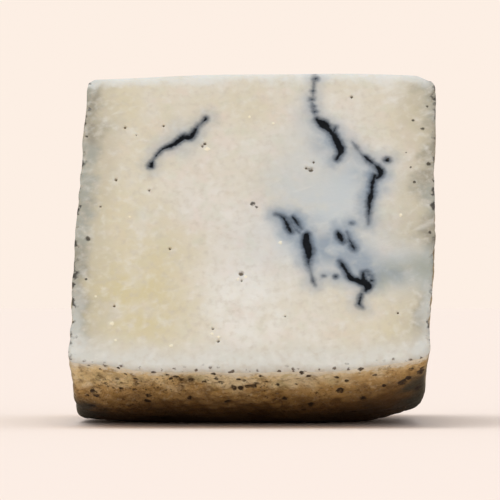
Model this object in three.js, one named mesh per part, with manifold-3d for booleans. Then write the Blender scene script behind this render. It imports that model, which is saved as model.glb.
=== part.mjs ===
// A wedge of semi-hard sheep's-milk cheese with truffle veins, cut from a small wheel.
//
// It stands on the strip of rind that was the wheel's outer wall, with the wheel's axis lying
// level along its top, so that its two cut faces lean together like a roof. The wheel is turned
// whole, and the sector that its two cuts leave is then taken out of it.
//
// Millimetres, +Z up. X runs along the wheel's axis, and the front cut face looks towards -Y.
// The origin lies on the resting spot, below the middle of the wedge.

import * as THREE from "three";
import { mergeVertices } from "three/addons/utils/BufferGeometryUtils.js";
import Module from "manifold-3d";

// The wheel. Each flat face is a shallow curve from the axis to the rim, given by its distance
// from the wheel's middle at the axis, at the curve's pull point and at the rim. The left face
// swells outwards and the right one draws in, as the wheel sagged a little while it ripened.
const WHEEL_RADIUS = 99.5;
const LEFT_FACE = { axis: 47.1, pull: 50.7, rim: 49.9 };
const RIGHT_FACE = { axis: 50.1, pull: 50.5, rim: 45.7 };

// The wall is a barrel: it is highest at its crown and drops towards both rims, flat at first.
const CROWN_X = 2;
const LEFT_DROP = 2.1;
const RIGHT_DROP = 4.4;
const BARREL_POWER = 3.4;
const RIM_FILLET = 2.4;

// The two cuts meet in a blunt edge along the axis, worn rounder at its two ends.
const CUT_ANGLE = THREE.MathUtils.degToRad(67);
const HALF_ANGLE = CUT_ANGLE / 2;
const TIP_RADIUS = 3;
const TIP_WORN_LENGTH = 6;
const TIP_WORN_DEPTH = 10;
const TIP_WORN_DROP = 1.8;

// The wedge's own weight presses a small flat spot into the crown, which it stands on.
const REST_DEPTH = 0.6;
const AXIS_HEIGHT = WHEEL_RADIUS - REST_DEPTH;

// Unevenness: height of the waves, and their longest and shortest lengths.
const RIND_WAVES = { height: 0.15, longest: 40, shortest: 14, count: 9, phase: 0.6 };
const KNIFE_WAVES = { height: 0.12, longest: 78, shortest: 29, count: 6, phase: 2.1 };

// Eyes: small holes that the two cuts have opened. x is across the face from its middle, and
// down is the distance from the axis along the face.
const FRONT_EYES = [
  { x: -4.6, down: 69, radius: 1.25 },
  { x: 15.6, down: 35, radius: 1.5 },
  { x: 13.9, down: 32.8, radius: 1 },
  { x: -14.4, down: 27.6, radius: 1.2 },
  { x: -0.8, down: 47.6, radius: 1.05 },
  { x: 36.4, down: 33, radius: 0.9 },
  { x: -46, down: 58.4, radius: 1 },
  { x: -10.7, down: 91.2, radius: 0.9 },
];
const BACK_EYES = { count: 8, smallest: 0.85, largest: 1.5, edge: 12, seed: 41 };
const EYE_SINK = 0.3;

// Fineness of the facets: steps along the flat faces, the wall and the cuts, and round the wheel.
const FACE_STEP = 5.4;
const WALL_STEP = 5;
const CUT_STEP = 5.8;
const FILLET_STEPS = 3;
const TIP_STEPS = 6;
const WHEEL_STEPS = 132;
const CUTTER_REACH = 58;

const PASTE_COLOUR = 0xdad3c0;
const PASTE_ROUGHNESS = 0.55;

const GOLDEN_ANGLE = Math.PI * (3 - Math.sqrt(5));

/** A height field of a few sine waves, whose directions are spread evenly over a sphere. */
function waves({ height, longest, shortest, count, phase }) {
  const parts = Array.from({ length: count }, (_, i) => {
    const up = 1 - (2 * i + 1) / count;
    const across = Math.sqrt(1 - up * up);
    const turn = i * GOLDEN_ANGLE;
    const length = longest * (shortest / longest) ** (i / (count - 1));
    const direction = new THREE.Vector3(across * Math.cos(turn), across * Math.sin(turn), up);
    return {
      direction: direction.multiplyScalar((2 * Math.PI) / length),
      height: height * Math.sqrt(length / longest),
      phase: phase + i * i,
    };
  });
  return (point) =>
    parts.reduce((sum, w) => sum + w.height * Math.sin(w.direction.dot(point) + w.phase), 0);
}

/** A small generator of even random numbers from 0 to 1, the same on every run. */
function seededRandom(seed) {
  let state = seed;
  return () => {
    state = (state * 16807) % 2147483647;
    return state / 2147483647;
  };
}

/** A geometry with positions alone, in which neighbouring faces share their vertices. */
function welded(geometry) {
  geometry.deleteAttribute("normal");
  geometry.deleteAttribute("uv");
  return mergeVertices(geometry);
}

/** Moves each vertex out along its normal by offset(point), which gives 0 where it stays. */
function displace(geometry, offset) {
  geometry.computeVertexNormals();
  const { position, normal } = geometry.attributes;
  const point = new THREE.Vector3();
  const out = new THREE.Vector3();
  for (let i = 0; i < position.count; i += 1) {
    point.fromBufferAttribute(position, i);
    out.fromBufferAttribute(normal, i);
    point.addScaledVector(out, offset(point));
    position.setXYZ(i, point.x, point.y, point.z);
  }
  return geometry;
}

/** The wall's distance from the axis at x. */
function wallRadius(x) {
  const [drop, rim] = x < CROWN_X ? [LEFT_DROP, -LEFT_FACE.rim] : [RIGHT_DROP, RIGHT_FACE.rim];
  return WHEEL_RADIUS - drop * Math.abs((x - CROWN_X) / (rim - CROWN_X)) ** BARREL_POWER;
}

/** One flat face of the wheel as (distance from the axis, x), from the axis to the rim. */
function faceCurve({ axis, pull, rim }, side) {
  const outer = wallRadius(side * rim);
  return new THREE.QuadraticBezierCurve(
    new THREE.Vector2(0, side * axis),
    new THREE.Vector2(outer / 2, side * pull),
    new THREE.Vector2(outer, side * rim),
  );
}

/** The rounded rim between a flat face, which ends short of it, and the wall. */
function rimCurve({ rim }, side) {
  const wallX = side * (rim - RIM_FILLET);
  const corner = wallRadius(side * rim);
  return new THREE.QuadraticBezierCurve(
    new THREE.Vector2(corner - RIM_FILLET, side * rim),
    new THREE.Vector2(corner, side * rim),
    new THREE.Vector2(wallRadius(wallX), wallX),
  );
}

/** Half of the wheel's profile, from the axis over a flat face and its rim to the wall. */
function halfProfile(face, side) {
  const curve = faceCurve(face, side);
  const steps = Math.round(WHEEL_RADIUS / FACE_STEP);
  const onFace = curve.getPoints(steps).filter((p) => p.x < WHEEL_RADIUS - 2.5 * RIM_FILLET);
  return [...onFace, ...rimCurve(face, side).getPoints(FILLET_STEPS)];
}

/** The whole wheel, lying along X, with its axis through the origin. */
function wheelGeometry() {
  const left = halfProfile(LEFT_FACE, -1);
  const right = halfProfile(RIGHT_FACE, 1);
  const from = left.at(-1).y;
  const to = right.at(-1).y;
  const steps = Math.round((to - from) / WALL_STEP);
  const wall = [];
  for (let i = 1; i < steps; i += 1) {
    const x = THREE.MathUtils.lerp(from, to, i / steps);
    wall.push(new THREE.Vector2(wallRadius(x), x));
  }
  const profile = [...left, ...wall, ...right.reverse()];
  const turned = new THREE.LatheGeometry(profile, WHEEL_STEPS).rotateZ(-Math.PI / 2);
  return displace(welded(turned), waves(RIND_WAVES));
}

/** The cuts' outline, seen along X: (y, z) from the axis, down both faces to the resting spot. */
function cutOutline() {
  const length = AXIS_HEIGHT / Math.cos(HALF_ANGLE);
  const tipStart = TIP_RADIUS / Math.tan(HALF_ANGLE);
  const steps = Math.round((length - tipStart) / CUT_STEP);
  const onCut = (side) => (_, i) => {
    const down = THREE.MathUtils.lerp(length, tipStart, i / steps);
    return new THREE.Vector2(side * down * Math.sin(HALF_ANGLE), -down * Math.cos(HALF_ANGLE));
  };
  const front = Array.from({ length: steps }, onCut(-1));
  const back = Array.from({ length: steps }, onCut(1)).reverse();
  const tip = new THREE.EllipseCurve(
    0,
    -TIP_RADIUS / Math.sin(HALF_ANGLE),
    TIP_RADIUS,
    TIP_RADIUS,
    Math.PI - HALF_ANGLE,
    HALF_ANGLE,
    true,
  );
  return new THREE.Shape([...front, ...tip.getPoints(TIP_STEPS), ...back]);
}

/** How far the blunt edge is worn away at a point, near one of its ends. */
function tipWear({ x, z }) {
  const end = x < 0 ? LEFT_FACE.axis : RIGHT_FACE.axis;
  const nearEnd = THREE.MathUtils.smoothstep(Math.abs(x), end - TIP_WORN_LENGTH, end);
  const nearEdge = THREE.MathUtils.smoothstep(z, -TIP_WORN_DEPTH, 0);
  return TIP_WORN_DROP * nearEnd * nearEdge;
}

/** What the two cuts leave: a long roof-shaped body with gently wavy sides and a level base. */
function cutterGeometry() {
  const roof = new THREE.ExtrudeGeometry(cutOutline(), {
    depth: 2 * CUTTER_REACH,
    steps: Math.round((2 * CUTTER_REACH) / CUT_STEP),
    bevelEnabled: false,
  });
  roof.translate(0, 0, -CUTTER_REACH).rotateX(Math.PI / 2).rotateZ(Math.PI / 2);
  const knife = waves(KNIFE_WAVES);
  const isAboveBase = ({ z }) => z > 1 - AXIS_HEIGHT;
  return displace(welded(roof), (p) => (isAboveBase(p) ? knife(p) - tipWear(p) : 0));
}

/** A ball whose outer part, past EYE_SINK, stands clear of the cut face that it opens. */
function eyeGeometry({ x, down, radius }, side) {
  const ball = welded(new THREE.IcosahedronGeometry(radius, 1));
  const out = EYE_SINK * radius;
  const across = down * Math.sin(HALF_ANGLE) + out * Math.cos(HALF_ANGLE);
  const height = -down * Math.cos(HALF_ANGLE) + out * Math.sin(HALF_ANGLE);
  return ball.translate(x, side * across, height);
}

/** Eyes at seeded random places on the back cut face, clear of its edges. */
function backEyes() {
  const random = seededRandom(BACK_EYES.seed);
  const between = (low, high) => THREE.MathUtils.lerp(low, high, random());
  return Array.from({ length: BACK_EYES.count }, () => ({
    x: between(BACK_EYES.edge - LEFT_FACE.axis, RIGHT_FACE.rim - BACK_EYES.edge),
    down: between(2 * BACK_EYES.edge, WHEEL_RADIUS - BACK_EYES.edge),
    radius: between(BACK_EYES.smallest, BACK_EYES.largest),
  }));
}

const wasm = await Module();
wasm.setup();

/** The closed solid that a welded geometry bounds. */
function solidOf(geometry) {
  const vertProperties = new Float32Array(geometry.attributes.position.array);
  const triVerts = new Uint32Array(geometry.index.array);
  return new wasm.Manifold(new wasm.Mesh({ numProp: 3, vertProperties, triVerts }));
}

/** The geometry of a solid's surface. */
function geometryOf(solid) {
  const { vertProperties, triVerts } = solid.getMesh();
  const geometry = new THREE.BufferGeometry();
  geometry.setAttribute("position", new THREE.BufferAttribute(vertProperties, 3));
  geometry.setIndex(new THREE.BufferAttribute(triVerts, 1));
  geometry.computeVertexNormals();
  return geometry;
}

/** The sector between the two cuts, with its eyes opened. */
function wedgeGeometry() {
  const eyes = [
    ...FRONT_EYES.map((eye) => eyeGeometry(eye, -1)),
    ...backEyes().map((eye) => eyeGeometry(eye, 1)),
  ];
  const sector = solidOf(wheelGeometry()).intersect(solidOf(cutterGeometry()));
  return geometryOf(eyes.reduce((solid, eye) => solid.subtract(solidOf(eye)), sector));
}

const paste = new THREE.MeshStandardMaterial({
  color: PASTE_COLOUR,
  roughness: PASTE_ROUGHNESS,
  metalness: 0,
});

const wedge = new THREE.Mesh(wedgeGeometry(), paste);
wedge.name = "cheese_wedge";
wedge.position.z = AXIS_HEIGHT;

const cheese = new THREE.Group();
cheese.add(wedge);

export default cheese;
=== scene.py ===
"""Dresses a wedge of semi-hard sheep's-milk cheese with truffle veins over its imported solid.

The wedge is a sector of a small wheel. It stands on the strip of rind that was the wheel's outer
wall, with the wheel's axis level along its top, so that its two cut faces lean together. Its skin
is made here as one closed mesh, fine enough for the veins, the eyes and the rind's relief. It has
nearly the solid's sizes: the flat faces, the drop to the right rim and the wear of the blunt edge
differ from the solid's by up to about a millimetre. Lengths in the classes are in millimetres, and
the mesh in metres.
"""

import logging
import math
from dataclasses import dataclass, field
from enum import Enum
from typing import Callable

import bpy
import numpy as np
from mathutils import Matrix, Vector
from mathutils.geometry import delaunay_2d_cdt
from mathutils.kdtree import KDTree


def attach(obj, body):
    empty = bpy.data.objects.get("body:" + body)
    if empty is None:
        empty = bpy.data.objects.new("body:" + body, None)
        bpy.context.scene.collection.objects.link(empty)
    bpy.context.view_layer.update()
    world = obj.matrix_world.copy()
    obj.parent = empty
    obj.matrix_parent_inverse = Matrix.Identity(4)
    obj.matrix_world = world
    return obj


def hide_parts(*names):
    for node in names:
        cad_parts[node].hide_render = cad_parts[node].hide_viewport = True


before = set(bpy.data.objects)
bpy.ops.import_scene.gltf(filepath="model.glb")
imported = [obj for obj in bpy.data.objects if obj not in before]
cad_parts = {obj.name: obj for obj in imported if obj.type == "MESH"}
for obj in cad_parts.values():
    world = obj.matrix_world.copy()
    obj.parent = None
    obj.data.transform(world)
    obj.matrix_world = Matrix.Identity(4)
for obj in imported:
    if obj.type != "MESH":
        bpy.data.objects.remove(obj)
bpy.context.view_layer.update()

LOG = logging.getLogger("cheese_wedge")
NODE = "cheese_wedge"
MM = 0.001
GOLDEN_ANGLE = math.pi * (3 - math.sqrt(5))


class Flank(Enum):
    """The wheel's two flat faces, by the sign of their x."""

    LEFT = -1
    RIGHT = 1


class Cut(Enum):
    """The two knife cuts, by the sign of their y."""

    FRONT = -1
    BACK = 1


class Side(Enum):
    """What a face of the skin is, by its material's place on the mesh."""

    PASTE = 0
    RIND = 1


# ---------------------------------------------------------------------------------------------
# Shape of the wheel and of the cuts


@dataclass(frozen=True)
class FlatFace:
    """A flat face of the wheel as a shallow curve from the axis to the rim.

    The three numbers are its distances from the wheel's middle plane.
    """

    axis: float
    pull: float
    rim: float

    def reach(self, share: np.ndarray) -> np.ndarray:
        """The face's distance from the middle plane, share of the way from the axis to the rim."""
        rest = 1 - share
        return rest**2 * self.axis + 2 * share * rest * self.pull + share**2 * self.rim


@dataclass(frozen=True)
class CheeseWheel:
    """The wheel that the wedge comes from, lying along X with its axis through the origin."""

    radius: float = 99.5
    left: FlatFace = FlatFace(46.1, 49.1, 49.2)
    right: FlatFace = FlatFace(49.7, 50.2, 45.8)
    crown_x: float = 2.0
    left_drop: float = 2.1
    right_drop: float = 4.8
    barrel_power: float = 3.4
    rim_fillet: float = 2.4
    rest_depth: float = 0.6

    @property
    def axis_height(self) -> float:
        """How high the axis lies above the resting spot."""
        return self.radius - self.rest_depth

    def face(self, flank: Flank) -> FlatFace:
        """The flat face on one flank."""
        return self.left if flank is Flank.LEFT else self.right

    def wall_radius(self, x: np.ndarray) -> np.ndarray:
        """The wall's distance from the axis at x, highest at the crown.

        Args:
            x: Places along the axis.

        Returns:
            One distance for each place.
        """
        x = np.asarray(x, float)
        left = x < self.crown_x
        drop = np.where(left, self.left_drop, self.right_drop)
        rim = np.where(left, -self.left.rim, self.right.rim)
        share = np.abs((x - self.crown_x) / (rim - self.crown_x))
        return self.radius - drop * share**self.barrel_power

    def rim_radius(self, flank: Flank) -> float:
        """The distance from the axis at which a flat face gives way to its rounded rim."""
        corner = self.wall_radius(flank.value * self.face(flank).rim)
        return float(corner) - self.rim_fillet

    def flank_x(self, flank: Flank, r: np.ndarray) -> np.ndarray:
        """The x of a flat face at distance r from the axis.

        Args:
            flank: The side that the face is on.
            r: Distances from the axis.

        Returns:
            One x for each distance.
        """
        face = self.face(flank)
        outer = float(self.wall_radius(flank.value * face.rim))
        return flank.value * face.reach(np.asarray(r, float) / outer)

    def rim_curve(self, flank: Flank, steps: int) -> np.ndarray:
        """The rounded rim as rows of (distance from the axis, x), from the flat face to the wall.

        Args:
            flank: The side that the rim is on.
            steps: How many pieces the curve has.

        Returns:
            steps + 1 rows.
        """
        rim = float(self.flank_x(flank, self.rim_radius(flank)))
        wall_x = flank.value * (self.face(flank).rim - self.rim_fillet)
        start = np.array([self.rim_radius(flank), rim])
        corner = np.array([self.rim_radius(flank) + self.rim_fillet, rim])
        end = np.array([float(self.wall_radius(wall_x)), wall_x])
        t = np.linspace(0, 1, steps + 1)[:, None]
        return (1 - t) ** 2 * start + 2 * t * (1 - t) * corner + t**2 * end

    def outer_profile(self, spacing: float) -> np.ndarray:
        """The profile from the left flat face over both rims to the right one.

        Args:
            spacing: The distance between points along the wall.

        Returns:
            Rows of (distance from the axis, x).
        """
        # The rounded rim is a quarter turn, about one and a half times its radius long.
        steps = max(3, round(1.5 * self.rim_fillet / spacing))
        left = self.rim_curve(Flank.LEFT, steps)
        right = self.rim_curve(Flank.RIGHT, steps)[::-1]
        count = round((right[0, 1] - left[-1, 1]) / spacing)
        x = np.linspace(left[-1, 1], right[0, 1], count + 1)[1:-1]
        return np.vstack([left, np.stack([self.wall_radius(x), x], 1), right])


@dataclass(frozen=True)
class EndWear:
    """How one end of the blunt edge is worn: how far along it, and how deep at the very end."""

    length: float
    drop: float


@dataclass(frozen=True)
class KnifeCuts:
    """The two cuts, which meet in a blunt edge along the wheel's axis."""

    angle: float = math.radians(67)
    tip_radius: float = 3.0
    left_wear: EndWear = EndWear(1.4, 0.7)
    right_wear: EndWear = EndWear(5.5, 1.9)
    worn_depth: float = 9.0
    arch_height: float = 0.5
    arch_x: float = 14.0
    arch_reach: float = 89.0

    @property
    def half(self) -> float:
        """Half of the angle between the cuts."""
        return self.angle / 2

    @property
    def tip_start(self) -> float:
        """The distance from the axis at which a cut gives way to the blunt edge."""
        return self.tip_radius / math.tan(self.half)

    @property
    def tip_length(self) -> float:
        """The way over the blunt edge, from one cut to the other."""
        return self.tip_radius * (math.pi - self.angle)

    def on_cut(self, cut: Cut, x: np.ndarray, down: np.ndarray) -> np.ndarray:
        """Points of a cut face, from x across it and the distance down it from the axis."""
        y = cut.value * down * math.sin(self.half)
        return np.stack(np.broadcast_arrays(x, y, -down * math.cos(self.half)), -1)

    def over_tip(self, share: np.ndarray) -> np.ndarray:
        """(y, z) on the blunt edge, share of the way from the front cut to the back one.

        Args:
            share: The place over the edge, from 0 to 1.

        Returns:
            Rows of (y, z).
        """
        turn = math.pi - self.half - share * (math.pi - self.angle)
        centre = -self.tip_radius / math.sin(self.half)
        y = self.tip_radius * np.cos(turn)
        return np.stack([y, centre + self.tip_radius * np.sin(turn)], -1)

    def unrolled(self, cut: Cut, down: np.ndarray) -> np.ndarray:
        """The distance down a cut as one coordinate that runs on over the edge to the other cut."""
        past = down - self.tip_start
        return past if cut is Cut.FRONT else -self.tip_length - past

    def down(self, cut: Cut, unrolled: np.ndarray) -> np.ndarray:
        """The distance down a cut from the unrolled coordinate, less than 0 past the edge."""
        past = unrolled if cut is Cut.FRONT else -self.tip_length - unrolled
        return self.tip_start + past


@dataclass(frozen=True)
class Waves:
    """A height field of a few sine waves, whose directions are spread evenly over a sphere."""

    height: float
    longest: float
    shortest: float
    count: int
    phase: float

    def at(self, points: np.ndarray) -> np.ndarray:
        """The height at each point, in millimetres.

        Args:
            points: Rows of x, y and z.

        Returns:
            One height for each row.
        """
        total = np.zeros(len(points))
        for i in range(self.count):
            up = 1 - (2 * i + 1) / self.count
            across = math.sqrt(1 - up * up)
            turn = i * GOLDEN_ANGLE
            length = self.longest * (self.shortest / self.longest) ** (i / (self.count - 1))
            way = np.array([across * math.cos(turn), across * math.sin(turn), up])
            along = points @ way * (2 * math.pi / length) + self.phase + i * i
            total += self.height * math.sqrt(length / self.longest) * np.sin(along)
        return total


class LatticeNoise:
    """Smooth seeded noise: random values on a lattice of points, blended between them."""

    def __init__(self, seed: int, side: int = 29) -> None:
        """Draws the lattice's values.

        Args:
            seed: The seed of the random draw.
            side: How many lattice points there are before the pattern repeats.
        """
        self.side = side
        self.values = np.random.default_rng(seed).uniform(-1, 1, (side, side, side))

    def at(self, points: np.ndarray, size: float) -> np.ndarray:
        """Values from -1 to 1 at the points.

        Args:
            points: Rows of x, y and z.
            size: How wide the noise's patches are.

        Returns:
            One value for each row.
        """
        place = points / size
        base = np.floor(place).astype(int)
        part = place - base
        part = part * part * (3 - 2 * part)
        total = np.zeros(len(points))
        for corner in np.ndindex(2, 2, 2):
            index = (base + corner) % self.side
            weight = np.prod(np.where(corner, part, 1 - part), axis=1)
            total += weight * self.values[index[:, 0], index[:, 1], index[:, 2]]
        return total


def smooth(value: np.ndarray, low: float, high: float) -> np.ndarray:
    """0 at low and 1 at high, with level ends; low may be the larger one."""
    share = np.clip((value - low) / (high - low), 0, 1)
    return share * share * (3 - 2 * share)


# ---------------------------------------------------------------------------------------------
# Truffle veins, their halos, and the eyes


@dataclass(frozen=True)
class TruffleVein:
    """A vein of chopped truffle that a cut has opened.

    stations are (x, down, half width) along it. x runs across the face from the wedge's middle,
    and down is the distance from the wheel's axis along the face. Where the half width is below 0
    the vein lies just under the cut, and only shades it.
    """

    stations: tuple[tuple[float, float, float], ...]

    def path(self, spacing: float, wander: float, rng: np.random.Generator) -> np.ndarray:
        """The vein as a fine, slightly wandering line.

        Args:
            spacing: The distance between its points.
            wander: How far a point strays sideways and how much its width changes, at most.
            rng: The source of the wander.

        Returns:
            Rows of (x, down, half width).
        """
        knots = np.array(self.stations, float)
        before = np.vstack([2 * knots[0] - knots[1], knots, 2 * knots[-1] - knots[-2]])
        rows = []
        for a, b, c, d in zip(before, before[1:], before[2:], before[3:]):
            count = max(1, round(float(np.hypot(*(c - b)[:2])) / spacing))
            t = (np.arange(count) / count)[:, None]
            turn = (c - a) * t + (2 * a - 5 * b + 4 * c - d) * t**2
            rows.append(b + 0.5 * (turn + (3 * b - a - 3 * c + d) * t**3))
        line = np.vstack([*rows, knots[-1:]])
        return line + rng.uniform(-wander, wander, line.shape)


@dataclass(frozen=True)
class Spot:
    """A round mark on a cut face: an eye, a crumb, a truffle grain or a soft patch of colour."""

    x: float
    down: float
    radius: float
    strength: float = 1.0


# A point further than the margin from all of a vein counts as far away from it.
SEARCH_MARGIN = 12
FAR_AWAY = 1e3


def capsule_distance(points: np.ndarray, line: np.ndarray) -> np.ndarray:
    """How far points lie outside a line with a width.

    Args:
        points: Rows of (x, down).
        line: Rows of (x, down, half width).

    Returns:
        The distance from the line's edge for each point, below 0 inside it.
    """
    best = np.full(len(points), FAR_AWAY)
    low = line[:, :2].min(0) - SEARCH_MARGIN
    high = line[:, :2].max(0) + SEARCH_MARGIN
    near = ((points > low) & (points < high)).all(1)
    if not near.any():
        return best
    close = points[near]
    found = np.full(len(close), FAR_AWAY)
    for a, b in zip(line, line[1:]):
        way = b[:2] - a[:2]
        share = np.clip((close - a[:2]) @ way / max(way @ way, 1e-9), 0, 1)
        gap = np.hypot(*(close - a[:2] - share[:, None] * way).T)
        found = np.minimum(found, gap - (a[2] + share * (b[2] - a[2])))
    best[near] = found
    return best


# The least value that hole gives, far from every mark of its kind.
OUTSIDE_ALL_MARKS = -9.0


@dataclass(frozen=True)
class Marbling:
    """All the marks of one cut face."""

    veins: tuple[TruffleVein, ...]
    grains: tuple[Spot, ...]
    halos: tuple[Spot, ...]
    stains: tuple[Spot, ...]
    moss: tuple[Spot, ...]
    fair: tuple[Spot, ...]
    eyes: tuple[Spot, ...]
    crumbs: tuple[Spot, ...]
    flecks: tuple[Spot, ...]
    warm: tuple[Spot, ...]
    seed: int
    vein_step: float = 0.6
    vein_wander: float = 0.05
    grain_length: float = 0.2

    def lines(self) -> list[np.ndarray]:
        """Every vein as a fine line, and every truffle grain as a very short one.

        Returns:
            For each of them, rows of (x, down, half width).
        """
        rng = np.random.default_rng(self.seed)
        made = [vein.path(self.vein_step, self.vein_wander, rng) for vein in self.veins]
        for g in self.grains:
            end = g.x + self.grain_length
            made.append(np.array([[g.x, g.down, g.radius], [end, g.down, g.radius]]))
        return made

    def truffle(self, points: np.ndarray) -> np.ndarray:
        """The distance of points from the nearest truffle's edge, below 0 inside it."""
        return np.min([capsule_distance(points, line) for line in self.lines()], axis=0)

    def glow(self, points: np.ndarray, spots: tuple[Spot, ...]) -> np.ndarray:
        """The strength of soft round patches at points, from 0 to 1.

        Args:
            points: Rows of (x, down).
            spots: The patches.

        Returns:
            One strength for each point.
        """
        total = np.zeros(len(points))
        for s in spots:
            gap = np.hypot(points[:, 0] - s.x, points[:, 1] - s.down)
            total += s.strength * np.exp(-((gap / s.radius) ** 2))
        return np.clip(total, 0, 1)

    def hole(self, points: np.ndarray, spots: tuple[Spot, ...]) -> np.ndarray:
        """1 in the middle of the nearest spot, 0 at its edge, and below 0 outside it.

        Args:
            points: Rows of (x, down).
            spots: The marks.

        Returns:
            One value for each point.
        """
        best = np.full(len(points), OUTSIDE_ALL_MARKS)
        for s in spots:
            gap = np.hypot(points[:, 0] - s.x, points[:, 1] - s.down)
            best = np.maximum(best, 1 - gap / s.radius)
        return best


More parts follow.
